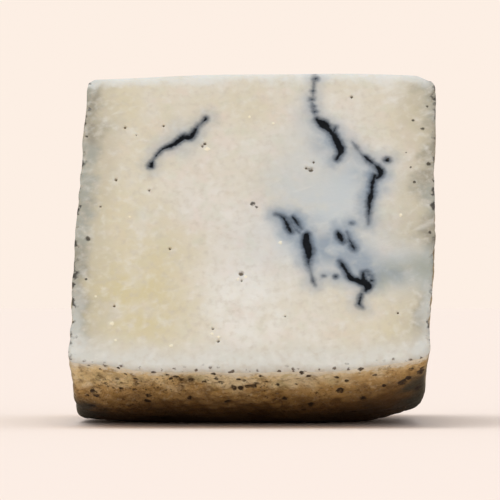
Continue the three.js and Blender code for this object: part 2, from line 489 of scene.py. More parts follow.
# The front face's marks, as the photograph shows them.
FRONT_MARBLING = Marbling(
    veins=(
        TruffleVein((
            (-28.4, 34.0, 0.6), (-27.8, 31.8, -0.2), (-26.8, 29.8, 0.1), (-25.4, 28.2, 0.2),
            (-23.2, 27.2, 0.5), (-20.8, 25.4, 0.6), (-19.4, 24.2, 0.85), (-18.1, 24.2, 0.75),
            (-17.0, 22.8, 0.55), (-15.8, 20.6, 0.35), (-14.7, 19.4, 0.0), (-13.6, 18.0, 0.5),
        )),
        TruffleVein((
            (16.8, -1.5, -0.5), (16.2, 7.0, -0.4), (15.9, 12.5, -0.35), (16.5, 17, -0.2),
        )),
        TruffleVein((
            (17.2, 18.2, 0.6), (18.6, 19.7, 1.05), (20.4, 21.8, 0.65), (21.7, 23.9, 0.8),
            (22.6, 26.1, 0.85), (23.4, 28.4, 0.95), (23.0, 30.2, 0.45), (22.1, 31.7, 0.2),
        )),
        TruffleVein(((21.4, 22.8, 0.4), (22.3, 20.9, -0.1))),
        TruffleVein((
            (26.6, 25.6, -0.5), (27.6, 27.4, -0.3), (28.9, 29.6, -0.15), (30.8, 31.6, 0.3),
            (32.6, 33.3, 0.3), (33.9, 35.0, 0.65), (34.3, 36.6, 0.6), (33.2, 38.0, 0.4),
        )),
        TruffleVein((
            (32.6, 37.2, 0.45), (31.9, 40.6, 0.38), (31.7, 43.3, 0.6), (31.2, 45.9, 0.5),
            (31.0, 48.4, 0.25), (30.8, 50.6, 0.0), (30.6, 53.6, -0.4),
        )),
        TruffleVein((
            (5.7, 50.0, 0.2), (7.2, 50.7, 0.25), (8.2, 52.1, 0.3), (9.0, 54.0, 0.45),
            (9.7, 55.8, 0.35),
        )),
        TruffleVein((
            (10.2, 51.0, -0.2), (10.9, 52.1, 0.2), (11.7, 53.7, 0.2), (12.5, 54.8, -0.1),
        )),
        TruffleVein(((9.4, 51.8, -0.4), (10.6, 54.6, -0.3), (12.0, 56.0, -0.4))),
        TruffleVein((
            (13.9, 57.1, 0.8), (13.9, 59.6, 0.9), (14.4, 61.8, 0.9), (14.5, 63.6, 0.85),
            (14.4, 65.6, 0.5), (14.6, 67.3, 0.0), (15.1, 69.4, -0.3), (15.5, 71.4, -0.1),
            (16.0, 73.0, -0.3),
        )),
        TruffleVein(((22.4, 55.8, 0.0), (22.9, 57.4, 0.6), (23.7, 59.0, 0.2))),
        TruffleVein((
            (24.8, 55.8, -0.4), (25.4, 58.1, -0.1), (26.2, 60.0, 0.2), (26.8, 61.6, 0.15),
        )),
        TruffleVein((
            (23.0, 65.5, 0.2), (24.0, 67.3, 0.45), (24.9, 69.4, 0.5), (25.8, 71.0, 0.7),
            (27.6, 71.7, 0.7), (29.3, 72.4, 0.9), (30.1, 73.4, 1.0), (29.4, 74.8, 0.5),
        )),
        TruffleVein(((29.4, 72.3, 0.8), (29.0, 70.7, 0.6), (28.9, 69.3, 0.2))),
        TruffleVein(((28.9, 69.3, 0.0), (29.9, 68.1, -0.4), (31.0, 68.6, -0.6))),
        TruffleVein(((28.5, 75.9, -0.1), (28.1, 77.7, 0.05), (27.8, 79.1, 0.35), (28.7, 80.3, -0.1))),
    ),
    grains=(
        Spot(16.6, 4.4, 0.15), Spot(15.9, 8.5, -0.05), Spot(15.7, 11.3, 0.3),
        Spot(16.1, 13.7, 0.0), Spot(16.3, 15.6, 0.2),
        Spot(36.1, 32.2, 0.5), Spot(21.6, 70.3, 0.0), Spot(18.3, 70.1, -0.2),
        Spot(25.9, 53.0, -0.2),
        Spot(31.1, 71.6, 0.2), Spot(30.4, 69.9, -0.05), Spot(31.2, 70.2, -0.15), Spot(30.2, 68.8, -0.2),
    ),
    halos=(
        Spot(18, 46, 13, 0.75), Spot(23, 60, 11, 0.6), Spot(7, 40, 7, 0.35), Spot(13, 28, 8, 0.3),
        Spot(27, 40, 7, 0.4), Spot(8, 54, 7, 0.4), Spot(38, 67, 7, 0.7), Spot(45, 68, 6, 0.5),
        Spot(14.5, 14, 5, 0.3), Spot(3, 64, 11, 0.25), Spot(-20, 25, 6, 0.25),
        Spot(19.5, 26, 7, 0.6), Spot(31, 38, 7, 0.6), Spot(13, 60, 6, 0.5), Spot(26, 67, 7, 0.5),
    ),
    stains=(
        Spot(18.3, 26.6, 3.4, 0.75), Spot(29.2, 37, 3.4, 0.65), Spot(34.9, 42, 2.2, 0.6),
        Spot(14, 18, 4, 0.35), Spot(18.6, 61, 4.6, 1.0), Spot(15, 53, 3.5, 0.4),
        Spot(29, 66, 4.2, 0.85), Spot(35.4, 68.6, 3.2, 0.4), Spot(24, 62, 6, 0.7),
        Spot(10.6, 54, 2.6, 0.5), Spot(26.4, 30.6, 3.0, 0.35), Spot(22.5, 34, 4, 0.25),
        Spot(-20.7, 22.6, 3.6, 0.45), Spot(-19.5, 29, 3, 0.3), Spot(38.6, 70.4, 2.6, 0.35),
        Spot(30.2, 69.4, 2.4, 1.0),
    ),
    moss=(
        Spot(36, 69.5, 4.5, 0.9), Spot(43, 67.5, 5, 0.75), Spot(48, 68, 4, 0.6),
        Spot(32.5, 71.5, 3, 0.5), Spot(36, 55, 5, 0.3),
    ),
    fair=(
        Spot(-6, 81, 11, 0.75), Spot(0, 73, 8, 0.5), Spot(6, 86, 9, 0.4), Spot(-7, 44, 7, 0.25),
        Spot(9, 64, 4, 0.5), Spot(-30, 40, 8, 0.2),
    ),
    eyes=(
        Spot(15.2, 35.2, 0.85), Spot(14.0, 34.7, 0.5), Spot(16.0, 32.7, 0.42),
        Spot(-3.7, 69.4, 0.8), Spot(-3.6, 71.6, 0.38), Spot(-11.2, 86.9, 0.42),
        Spot(-9.7, 90.9, 0.42), Spot(-13.9, 26.5, 0.5), Spot(-14.5, 27.3, 0.45),
        Spot(-25.3, 20.4, 0.4), Spot(-35.9, 20.9, 0.45), Spot(-38.0, 38.6, 0.45),
        Spot(-28.9, 42.2, 0.4), Spot(26.7, 10.6, 0.5), Spot(-22.9, 61.3, 0.45),
        Spot(-37.5, 79.8, 0.4), Spot(38, 82, 0.35), Spot(8, 83, 0.3),
        Spot(-42, 47.5, 0.35), Spot(-32.8, 23.5, 0.26),
    ),
    crumbs=(
        Spot(-38.0, 85.5, 0.8), Spot(-42.5, 76.8, 0.42), Spot(-36.9, 90.7, 0.45),
        Spot(-13.2, 28.4, 0.8), Spot(6.8, 59.4, 0.6), Spot(-22.2, 92.3, 0.6),
        Spot(-34.0, 51.1, 0.45), Spot(-1.6, 17.4, 0.45), Spot(5.0, 19.7, 0.5),
        Spot(39.5, 50.4, 0.6), Spot(-4.6, 71.2, 0.5), Spot(-2.6, 70.4, 0.5),
        Spot(-11.4, 88.6, 0.5), Spot(-9.6, 89.6, 0.4),
    ),
    flecks=(
        Spot(-0.7, 46.6, 0.75), Spot(0.3, 47.6, 0.5), Spot(-45.1, 58.2, 0.85),
        Spot(47.4, 33.5, 0.7), Spot(47.2, 56.2, 0.6), Spot(46.0, 21.5, 0.65),
        Spot(43.6, 18.6, 0.55), Spot(43.4, 39.6, 0.5), Spot(42.6, 34.6, 0.4),
        Spot(47.6, 13.8, 0.5), Spot(41.4, 29.6, 0.3), Spot(-46.4, 24.0, 0.5),
        Spot(-45.2, 71.3, 0.4), Spot(-47.6, 34.0, 0.5), Spot(36.4, 31.6, 0.4),
    ),
    warm=(
        Spot(-38, 76, 18, 0.9), Spot(-38, 45, 13, 0.6), Spot(-24, 84, 13, 0.5),
        Spot(24, 92, 12, 0.3), Spot(39, 86, 12, 0.55), Spot(-34, 14, 14, 0.5),
        Spot(0, 10, 16, 0.3), Spot(38, 14, 12, 0.3), Spot(-26, 64, 10, 0.3),
    ),
    seed=11,
)


@dataclass(frozen=True)
class Transplant:
    """Marks from round a place on one cut face, turned and laid round a place on the other."""

    source: tuple[float, float]
    reach: float
    place: tuple[float, float]
    turn: float
    scale: float = 1.0

    def reaches(self, x: float, down: float) -> bool:
        """Whether a mark is near enough to its source to be taken."""
        return math.dist((x, down), self.source) < self.reach

    def moved(self, x: float, down: float) -> tuple[float, float]:
        """Where a mark is laid.

        Args:
            x: Its place across the face it is taken from.
            down: Its distance down that face.

        Returns:
            Its place across the other face, and its distance down it.
        """
        a, b = x - self.source[0], down - self.source[1]
        cos, sin = self.scale * math.cos(self.turn), self.scale * math.sin(self.turn)
        return self.place[0] + a * cos - b * sin, self.place[1] + a * sin + b * cos

    def veins(self, veins: tuple[TruffleVein, ...]) -> list[TruffleVein]:
        """The veins whose middles are within reach, as they are laid.

        Args:
            veins: The veins of the face they are taken from.

        Returns:
            The veins of the other face.
        """
        taken = []
        for vein in veins:
            x, down, _ = vein.stations[len(vein.stations) // 2]
            if self.reaches(x, down):
                taken.append(TruffleVein(tuple(
                    (*self.moved(a, b), self.scale * half) for a, b, half in vein.stations
                )))
        return taken

    def spots(self, spots: tuple[Spot, ...]) -> list[Spot]:
        """The spots within reach, as they are laid.

        Args:
            spots: The marks of the face they are taken from.

        Returns:
            The marks of the other face.
        """
        return [
            Spot(*self.moved(s.x, s.down), self.scale * s.radius, s.strength)
            for s in spots if self.reaches(s.x, s.down)
        ]


@dataclass(frozen=True)
class HiddenFace:
    """Lays out the marks of the cut face that isn't seen, in the manner of the one that is.

    Some are transplants. The rest are scattered between the flank margins, from highest to lowest
    down the face.
    """

    transplants: tuple[Transplant, ...] = (
        Transplant((21, 61), 15.5, (-17, 45), math.radians(158), 0.95),
        Transplant((20.5, 24), 9, (27, 74), math.radians(-65)),
        Transplant((32.5, 41), 11.5, (19, 27), math.radians(98), 0.9),
        Transplant((-21, 27), 9, (-31, 79), math.radians(28)),
    )
    flank_margin: float = 7.0
    highest: float = 8.0
    lowest: float = 93.0
    seed: int = 23

    def marbling(self, model: Marbling, wheel: CheeseWheel) -> Marbling:
        """The whole face's marks.

        Args:
            model: The marks of the other face.
            wheel: The wheel, for the face's width.

        Returns:
            The marks.
        """
        rng = np.random.default_rng(self.seed)
        low, high = self.flank_margin - wheel.left.axis, wheel.right.rim - self.flank_margin

        def scattered(count: int, smallest: float, largest: float,
                      strength: float = 1.0) -> tuple[Spot, ...]:
            """Round marks at random places.

            Args:
                count: How many there are.
                smallest: The least radius.
                largest: The greatest radius.
                strength: How strong each is.

            Returns:
                The marks.
            """
            return tuple(
                Spot(rng.uniform(low, high), rng.uniform(self.highest, self.lowest),
                     rng.uniform(smallest, largest), strength)
                for _ in range(count)
            )

        def laid(spots: tuple[Spot, ...]) -> tuple[Spot, ...]:
            """The spots of all the transplants."""
            return tuple(spot for t in self.transplants for spot in t.spots(spots))

        return Marbling(
            veins=tuple(vein for t in self.transplants for vein in t.veins(model.veins)),
            grains=laid(model.grains) + scattered(5, 0.1, 0.5),
            halos=laid(model.halos),
            stains=laid(model.stains),
            moss=laid(model.moss),
            fair=scattered(4, 6, 11, 0.6),
            eyes=scattered(18, 0.4, 0.9),
            crumbs=scattered(10, 0.4, 0.7),
            flecks=scattered(14, 0.35, 0.8),
            warm=scattered(5, 12, 18, 0.8),
            seed=self.seed + 1,
        )


# ---------------------------------------------------------------------------------------------
# The closed skin


@dataclass(frozen=True)
class Fineness:
    """How fine the skin's facets are.

    spread and rim_gap are shares of the spacing: how far a point keeps from the others of its
    patch, and from the patch's outline. tip_share is the spacing along the blunt edge as a share of
    the rind's. finest_near and finer_near are how near to a mark the facets are halved twice and
    once.
    """

    cut: float = 1.3
    rind: float = 0.75
    wall: float = 0.6
    rim_grading: float = 0.3
    tip_rows: int = 9
    tip_share: float = 0.8
    jitter: float = 0.12
    finest_level: int = 2
    spread: float = 0.6
    rim_gap: float = 0.55
    finest_near: float = 0.6
    finer_near: float = 1.8
    sliver_area: float = 0.004


def triangular_grid(low: np.ndarray, high: np.ndarray, spacing: float, jitter: float,
                    rng: np.random.Generator) -> np.ndarray:
    """Points of a triangular grid over a rectangle, each moved a little at random.

    Args:
        low: The rectangle's lowest corner.
        high: The rectangle's highest corner.
        spacing: The distance between neighbours.
        jitter: How far a point moves, as a share of the spacing.
        rng: The source of the moves.

    Returns:
        Rows of two coordinates.
    """
    columns = np.arange(low[0], high[0], spacing)
    rows = np.arange(low[1], high[1], spacing * math.sqrt(0.75))
    a, b = np.meshgrid(columns, rows)
    a[1::2] += spacing / 2
    points = np.stack([a, b], -1).reshape(-1, 2)
    return points + rng.uniform(-jitter, jitter, points.shape) * spacing


def apart(points: np.ndarray, others: np.ndarray, gap: float) -> np.ndarray:
    """The points that lie at least gap away from all the others.

    Args:
        points: Rows of two coordinates.
        others: Rows of two coordinates.
        gap: The least distance.

    Returns:
        The rows that are kept.
    """
    tree = KDTree(len(others))
    for number, place in enumerate(others):
        tree.insert((*place, 0), number)
    tree.balance()
    kept = [p for p in points if tree.find((*p, 0))[2] >= gap]
    return np.array(kept).reshape(-1, 2)


def inside_loop(points: np.ndarray, loop: np.ndarray, margin: float) -> np.ndarray:
    """Which points lie inside a closed outline, at least margin away from it.

    Args:
        points: Rows of two coordinates.
        loop: The outline's corners.
        margin: The least distance from the outline's corners.

    Returns:
        True for each such point.
    """
    odd = np.zeros(len(points), bool)
    gap = np.full(len(points), np.inf)
    for a, b in zip(loop, np.roll(loop, -1, 0)):
        crosses = (a[1] > points[:, 1]) != (b[1] > points[:, 1])
        if a[1] != b[1]:
            at = a[0] + (points[:, 1] - a[1]) * (b[0] - a[0]) / (b[1] - a[1])
            odd ^= crosses & (points[:, 0] < at)
        gap = np.minimum(gap, np.hypot(*(points - a).T))
    return odd & (gap > margin)


# Points that round to the same micrometre are one point. The offset keeps round sizes, such as 0,
# off the places where rounding would part two of them.
MERGE_DECIMALS = 3
MERGE_OFFSET = 1.37e-4


class Skin:
    """The wedge's skin while it is put together from patches that share their edges."""

    def __init__(self) -> None:
        """Starts with no points and no faces."""
        self.index: dict[tuple[float, ...], int] = {}
        self.points: list[np.ndarray] = []
        self.unrolled: list[float] = []
        self.is_cut: list[bool] = []
        self.is_rind: list[bool] = []
        self.faces: list[tuple[int, ...]] = []
        self.sides: list[int] = []

    def add_points(self, points: np.ndarray, side: Side, unrolled: np.ndarray | None) -> np.ndarray:
        """Adds a patch's points, or finds those that a neighbour has already added.

        Args:
            points: Rows of x, y and z from the axis.
            side: What the patch is.
            unrolled: Each point's place down the cuts, or None on rind.

        Returns:
            Each point's number in the skin.
        """
        numbers = np.empty(len(points), int)
        for row, point in enumerate(points):
            key = tuple(np.round(point + MERGE_OFFSET, MERGE_DECIMALS))
            number = self.index.setdefault(key, len(self.points))
            if number == len(self.points):
                self.points.append(point)
                self.unrolled.append(np.nan)
                self.is_cut.append(False)
                self.is_rind.append(False)
            if unrolled is not None:
                self.unrolled[number] = float(unrolled[row])
            self.is_cut[number] |= side is Side.PASTE
            self.is_rind[number] |= side is Side.RIND
            numbers[row] = number
        return numbers

    def add_faces(self, faces: np.ndarray, side: Side, turned: bool) -> None:
        """Adds faces, with their corners the other way round if they are turned.

        Args:
            faces: Rows of point numbers.
            side: What the faces are.
            turned: Whether their corners go the other way round.
        """
        for face in faces:
            corners = tuple(int(n) for n in face)
            self.faces.append(corners[::-1] if turned else corners)
            self.sides.append(side.value)

    def add_grid(self, numbers: np.ndarray, side: Side, turned: bool) -> None:
        """Adds the four-sided faces of a grid of points, given as rows and columns.

        Args:
            numbers: The grid's point numbers.
            side: What the faces are.
            turned: Whether their corners go the other way round.
        """
        corners = (numbers[:-1, :-1], numbers[:-1, 1:], numbers[1:, 1:], numbers[1:, :-1])
        self.add_faces(np.stack([c.ravel() for c in corners], 1), side, turned)

    def check_closed(self) -> None:
        """Stops the script if an edge of the skin hasn't exactly two faces."""
        edges: dict[tuple[int, int], int] = {}
        for face in self.faces:
            for a, b in zip(face, face[1:] + face[:1]):
                edges[(a, b)] = edges.get((a, b), 0) + 1
        bad = sum(1 for (a, b), n in edges.items() if n != 1 or (b, a) not in edges)
        if bad:
            raise ValueError(f"the skin has {bad} open or doubled edges")


def fill_loop(loop: np.ndarray, spacing: float,
              level_of: Callable[[np.ndarray], np.ndarray], fine: Fineness,
              rng: np.random.Generator) -> tuple[np.ndarray, np.ndarray]:
    """Fills a closed outline with triangles, smaller where level_of asks for it.

    Args:
        loop: The outline's corners.
        spacing: The distance between points at level 0; each level halves it.
        level_of: Gives the level wanted at rows of points.
        fine: The facets' fineness.
        rng: The source of small moves.

    Returns:
        The points, the outline's first, and the triangles as rows of three point numbers.
    """
    low, high = loop.min(0), loop.max(0)
    points = loop
    for level in range(fine.finest_level + 1):
        step = spacing / 2**level
        grid = triangular_grid(low, high, step, fine.jitter, rng)
        grid = grid[level_of(grid) == level]
        margin = fine.rim_gap * max(step, fine.spread * spacing)
        grid = grid[inside_loop(grid, loop, margin)]
        points = np.vstack([points, apart(grid, points, fine.spread * step)])
    outline = list(range(len(loop)))
    only_inside = 1
    merge_gap = 1e-7
    made = delaunay_2d_cdt([Vector(p) for p in points], [], [outline], only_inside, merge_gap, True)
    places, triangles, sources = made[0], made[2], made[3]
    if any(len(s) != 1 for s in sources) or len(places) != len(points):
        raise ValueError("two points of a patch fell together")
    corners = np.array([s[0] for s in sources])[np.array(triangles)]
    a, b, c = (points[corners[:, i]] for i in range(3))
    doubled = (b - a)[:, 0] * (c - a)[:, 1] - (b - a)[:, 1] * (c - a)[:, 0]
    # Slivers between points of one straight edge are left out.
    sliver = (corners < len(loop)).all(1) & (np.abs(doubled) < fine.sliver_area)
    return points, corners[~sliver]


# The wall's dark pits and flecks beside the front cut, as the photograph shows them. Here down is
# the way in from the cut.
WALL_MARKS = (
    Spot(-44.0, 0.9, 0.5), Spot(-39.3, 0.3, 0.7), Spot(-36.0, 0.2, 0.5), Spot(-26.7, 0.3, 0.7),
    Spot(-40.8, 3.1, 0.5), Spot(-34.2, 3.3, 0.5), Spot(-31.5, 5.8, 0.55), Spot(-23.1, 2.0, 0.55),
    Spot(-20.9, 3.8, 1.1), Spot(-19.7, 5.9, 1.2), Spot(-17.0, 6.6, 0.8), Spot(-22.2, 5.0, 0.7),
    Spot(-10.9, 1.3, 0.8), Spot(-10.2, 5.0, 0.75), Spot(-9.0, 7.6, 0.9), Spot(-13.5, 7.6, 0.8),
    Spot(-12.8, 6.5, 0.55), Spot(-4.3, 4.3, 0.8), Spot(-2.9, 5.7, 0.75), Spot(-5.7, 10.7, 1.1),
    Spot(-3.8, 10.6, 1.1), Spot(-2.0, 9.8, 0.8), Spot(-0.4, 9.6, 1.1), Spot(0.4, 7.6, 0.8),
    Spot(1.5, 1.6, 0.65), Spot(3.2, 6.1, 0.5), Spot(6.0, 9.1, 0.7), Spot(10.8, 9.5, 0.55),
    Spot(12.3, 0.3, 0.75), Spot(14.1, 2.7, 0.8), Spot(21.5, 4.1, 0.8), Spot(24.3, 7.2, 0.75),
    Spot(22.7, 13.6, 1.4), Spot(27.8, 0.3, 0.9), Spot(31.6, 5.3, 0.65), Spot(34.4, 13.0, 0.8),
    Spot(41.3, 5.4, 0.85), Spot(39.3, 12.9, 1.6), Spot(40.7, 11.1, 1.3), Spot(44.1, 9.0, 1.4),
    Spot(44.4, 6.9, 0.8), Spot(44.0, 20.5, 1.2), Spot(36.8, 26.8, 1.1), Spot(-43.3, 16.9, 1.2),
    Spot(-42.7, 19.1, 1.1), Spot(-45.1, 19.8, 0.75), Spot(-45.2, 27.8, 1.2),
    Spot(-28.4, 16.9, 1.1), Spot(-28.9, 21.4, 1.2), Spot(-35.8, 13.3, 0.8), Spot(-7.4, 20.5, 1.1),
    Spot(-17.5, 17.5, 0.9), Spot(8.0, 18.0, 1.0), Spot(15.0, 22.0, 1.1), Spot(29.0, 20.0, 1.0),
)


@dataclass(frozen=True)
class RindPits:
    """Small pits that mites, mould and the brush left in the rind, gathered in loose groups.

    A group has at least least_each pits and fewer than most_each. The greater the smallness, the
    more of them are small.
    """

    groups: int = 170
    group_radius: float = 8.0
    least_each: int = 2
    most_each: int = 8
    smallest: float = 0.5
    largest: float = 1.4
    smallness: float = 3.5
    depth: float = 0.42
    marked_width: float = 26.0
    mark_length: float = 1.7
    mark_growth: float = 0.95

    def marks(self, x: np.ndarray, inward: np.ndarray) -> np.ndarray:
        """How deep points of the wall lie in one of its known marks.

        Args:
            x: The points' x.
            inward: Their way in from the front cut.

        Returns:
            Values like those of at.
        """
        depth = np.zeros(len(x))
        for s in WALL_MARKS:
            gap = np.hypot(x - s.x, (inward - s.down) / self.mark_length)
            depth = np.maximum(depth, 1 - gap / (self.mark_growth * s.radius))
        return depth

    def at(self, points: np.ndarray, rng: np.random.Generator) -> np.ndarray:
        """How deep each point lies in a pit, from 0 at its edge to 1 at its middle.

        Args:
            points: The rind's points, as rows of x, y and z.
            rng: The source of the pits' places and sizes.

        Returns:
            One value for each point.
        """
        tree = KDTree(len(points))
        for number, place in enumerate(points):
            tree.insert(place, number)
        tree.balance()
        depth = np.zeros(len(points))
        for middle in points[rng.choice(len(points), self.groups, replace=False)]:
            near = tree.find_range(middle, self.group_radius)
            count = rng.integers(self.least_each, self.most_each)
            for pick in rng.integers(0, len(near), count):
                larger = (self.largest - self.smallest) * rng.uniform() ** self.smallness
                radius = self.smallest + larger
                centre = near[pick][0] + Vector(rng.uniform(-self.smallest, self.smallest, 3))
                for _, number, gap in tree.find_range(centre, radius):
                    depth[number] = max(depth[number], 1 - gap / radius)
        return depth


@dataclass
class WedgeBody:
    """The whole wedge: paste, veins and rind as one closed mesh.

    The shift table holds (x, shift): how much further in from the cuts the wall counts as at x, so
    that the browner rind and the painted shade towards the bottom reach further at some places along
    its length. imprint_way is the cosine and sine by which the cloth's
    print is turned, and imprint_level the print's value that lies on the smooth form. bare_rim
    gives the distances from the rim at which the print starts and is full, and groove_side those
    from a vein's edge at which its groove starts and is deepest. imprint_worn and crumb_side are
    the noise from which the print is worn away to clear, and the marks' values from a crumb's foot
    to its top.
    """

    wheel: CheeseWheel = CheeseWheel()
    cuts: KnifeCuts = KnifeCuts()
    fine: Fineness = Fineness()
    rind_waves: Waves = Waves(0.15, 40, 14, 9, 0.6)
    knife_waves: Waves = Waves(0.12, 78, 29, 6, 2.1)
    imprint_pitch: float = 4.4
    imprint_height: float = 0.5
    imprint_way: tuple[float, float] = (0.94, 0.34)
    imprint_stray: float = 0.9
    imprint_stray_size: float = 11.0
    imprint_patch: float = 16.0
    imprint_worn: tuple[float, float] = (-0.6, 0.5)
    imprint_level: float = 0.9
    bare_rim: tuple[float, float] = (0.5, 3.5)
    rim_blend: float = 1.5
    crag_height: float = 0.26
    coarse_crag: float = 5.2
    coarse_share: float = 0.6
    fine_crag: float = 2.4
    fine_share: float = 0.5
    flare: float = 1.2
    flare_reach: float = 9.0
    flare_ends: float = 0.6
    # Where along x the wall's browner rind and painted shade towards the bottom reach further in.
    browning_and_shade_shift: tuple[tuple[float, float], ...] = (
        (-50, -6.0), (-40, -4.8), (-31, -2.0), (-20, 0.2), (4, -2.8), (21, 1.0), (37, 6.5), (50, 9.0),
    )
    pits: RindPits = RindPits()
    groove_depth: float = 0.3
    groove_side: tuple[float, float] = (0.35, -0.5)
    eye_depth: float = 0.8
    crumb_height: float = 0.15
    crumb_side: tuple[float, float] = (-0.1, 0.6)
    marks_past_tip: float = 6.0
    marbling: dict[Cut, Marbling] = field(default_factory=dict)
    seed: int = 5

    def __post_init__(self) -> None:
        """Draws the noise fields and the marks of both cut faces."""
        back = HiddenFace().marbling(FRONT_MARBLING, self.wheel)
        self.marbling = {Cut.FRONT: FRONT_MARBLING, Cut.BACK: back}
        self.noise = LatticeNoise(self.seed)
        self.rng = np.random.default_rng(self.seed + 1)

    # Edges that two patches share

    def edge_downs(self, flank: Flank) -> np.ndarray:
        """The distances from the axis of the points along a cut's edge with a flat face.

        Args:
            flank: The side that the flat face is on.

        Returns:
            The distances, from the blunt edge to the rim.
        """
        end = self.wheel.rim_radius(flank)
        count = round((end - self.cuts.tip_start) / self.fine.rind)
        return np.linspace(self.cuts.tip_start, end, count + 1)

    def rim_turns(self) -> np.ndarray:
        """The angles round the axis of the points along a rim, closer by the cuts.

        Returns:
            The angles in radians, from the front cut to the back one.
        """
        count = round(self.cuts.angle * self.wheel.radius / self.fine.rind)
        share = np.linspace(-1, 1, count + 1)
        closer = self.fine.rim_grading / math.pi * np.sin(math.pi * share)
        return self.cuts.half * (share + closer)

    def tip_shares(self) -> np.ndarray:
        """The places of the points that cross the blunt edge."""
        return np.linspace(0, 1, self.fine.tip_rows + 1)

    def tip_columns(self, share: float) -> np.ndarray:
        """The x of the points along the blunt edge, at one place across it.

        Args:
            share: The place over the edge, from 0 to 1.

        Returns:
            The points' x.
        """
        r = np.hypot(*self.cuts.over_tip(np.array(share)))
        ends = [float(self.wheel.flank_x(flank, r)) for flank in Flank]
        spacing = self.fine.tip_share * self.fine.rind
        count = round((self.wheel.left.axis + self.wheel.right.axis) / spacing)
        return np.linspace(*ends, count + 1)

    # Patches

    def add_cut(self, skin: Skin, cut: Cut) -> None:
        """Adds a cut face, with small facets near its marks.

        Args:
            skin: The skin to add to.
            cut: The cut.
        """
        left, right = (self.edge_downs(flank) for flank in Flank)
        top = self.tip_columns(0.0 if cut is Cut.FRONT else 1.0)
        profile = self.wheel.outer_profile(self.fine.wall)
        start = self.cuts.tip_start
        loop = np.vstack([
            np.stack([top, np.full(len(top), start)], 1)[:-1],
            np.stack([self.wheel.flank_x(Flank.RIGHT, right), right], 1)[:-1],
            profile[::-1, ::-1][:-1],
            np.stack([self.wheel.flank_x(Flank.LEFT, left), left], 1)[:0:-1],
        ])
        marks = self.marbling[cut]

        def level_of(points: np.ndarray) -> np.ndarray:
            """2 beside veins, grains and eyes, 1 round them, and 0 elsewhere.

            Args:
                points: Rows of (x, down).

            Returns:
                One level for each point.
            """
            gap = marks.truffle(points)
            for spots in (marks.eyes, marks.crumbs, marks.flecks):
                for s in spots:
                    centre = np.array([s.x, s.down])
                    gap = np.minimum(gap, np.hypot(*(points - centre).T) - s.radius)
            halved_once = np.where(gap < self.fine.finer_near, 1, 0)
            return np.where(gap < self.fine.finest_near, 2, halved_once)

        points, triangles = fill_loop(loop, self.fine.cut, level_of, self.fine, self.rng)
        places = self.cuts.on_cut(cut, points[:, 0], points[:, 1])
        unrolled = self.cuts.unrolled(cut, points[:, 1])
        numbers = skin.add_points(places, Side.PASTE, unrolled)
        skin.add_faces(numbers[triangles], Side.PASTE, cut is Cut.FRONT)

    def add_tip(self, skin: Skin) -> None:
        """Adds the blunt edge in which the two cuts meet.

        Args:
            skin: The skin to add to.
        """
        rows = []
        for share in self.tip_shares():
            y, z = self.cuts.over_tip(np.array(share))
            x = self.tip_columns(share)
            place = np.stack(np.broadcast_arrays(x, y, z), -1)
            down = np.full(len(x), -share * self.cuts.tip_length)
            rows.append(skin.add_points(place, Side.PASTE, down))
        skin.add_grid(np.array(rows), Side.PASTE, False)

    def add_flank(self, skin: Skin, flank: Flank) -> None:
        """Adds one of the two flat faces of rind.

        Args:
            skin: The skin to add to.
            flank: The side that the face is on.
        """
        half = self.cuts.half
        down = self.edge_downs(flank)
        turns = self.rim_turns()
        rim = self.wheel.rim_radius(flank)
        front = np.stack([-down * math.sin(half), -down * math.cos(half)], 1)
        back = front * [-1, 1]
        loop = np.vstack([
            front[:-1],
            np.stack([rim * np.sin(turns), -rim * np.cos(turns)], 1)[:-1],
            back[:0:-1],
            self.cuts.over_tip(self.tip_shares())[:0:-1],
        ])
        points, triangles = fill_loop(
            loop, self.fine.rind, lambda p: np.zeros(len(p)), self.fine, self.rng
        )
        x = self.wheel.flank_x(flank, np.hypot(*points.T))
        numbers = skin.add_points(np.column_stack([x, points]), Side.RIND, None)
        skin.add_faces(numbers[triangles], Side.RIND, flank is Flank.LEFT)

    def add_wall(self, skin: Skin) -> None:
        """Adds the wall with its two rounded rims.

        Args:
            skin: The skin to add to.
        """
        profile = self.wheel.outer_profile(self.fine.wall)
        turns = self.rim_turns()
        r, x = profile[:, :1], profile[:, 1:]
        y, z = r * np.sin(turns), -r * np.cos(turns)
        grid = np.stack(np.broadcast_arrays(x, y, z), -1)
        numbers = skin.add_points(grid.reshape(-1, 3), Side.RIND, None)
        skin.add_grid(numbers.reshape(grid.shape[:2]), Side.RIND, False)

    # Relief

    def imprint(self, points: np.ndarray, wallness: np.ndarray) -> np.ndarray:
        """The print of the ripening cloth: small pillows between crossing grooves.

        Args:
            points: Rows of x, y and z from the axis.
            wallness: 1 on the wall and 0 on the flat faces.

        Returns:
            The relief from 0 in a groove to 1 on a pillow, and 1 where the print is worn away.
        """
        x, y, z = points.T
        turn = np.arctan2(y, -z)
        a = np.where(wallness > 0.5, self.wheel.radius * turn, y)
        b = np.where(wallness > 0.5, x, z)
        # Two far-apart places in one noise give two strays that don't follow each other.
        a = a + self.imprint_stray * self.noise.at(points + 40, self.imprint_stray_size)
        b = b + self.imprint_stray * self.noise.at(points - 40, self.imprint_stray_size)
        pitch = self.imprint_pitch
        cos, sin = self.imprint_way
        along = np.abs(np.cos(math.pi * (cos * a + sin * b) / pitch))
        across = np.abs(np.cos(math.pi * (cos * b - sin * a) / pitch))
        clear = smooth(self.noise.at(points, self.imprint_patch), *self.imprint_worn)
        return 1 - clear * (1 - np.sqrt(along * across))

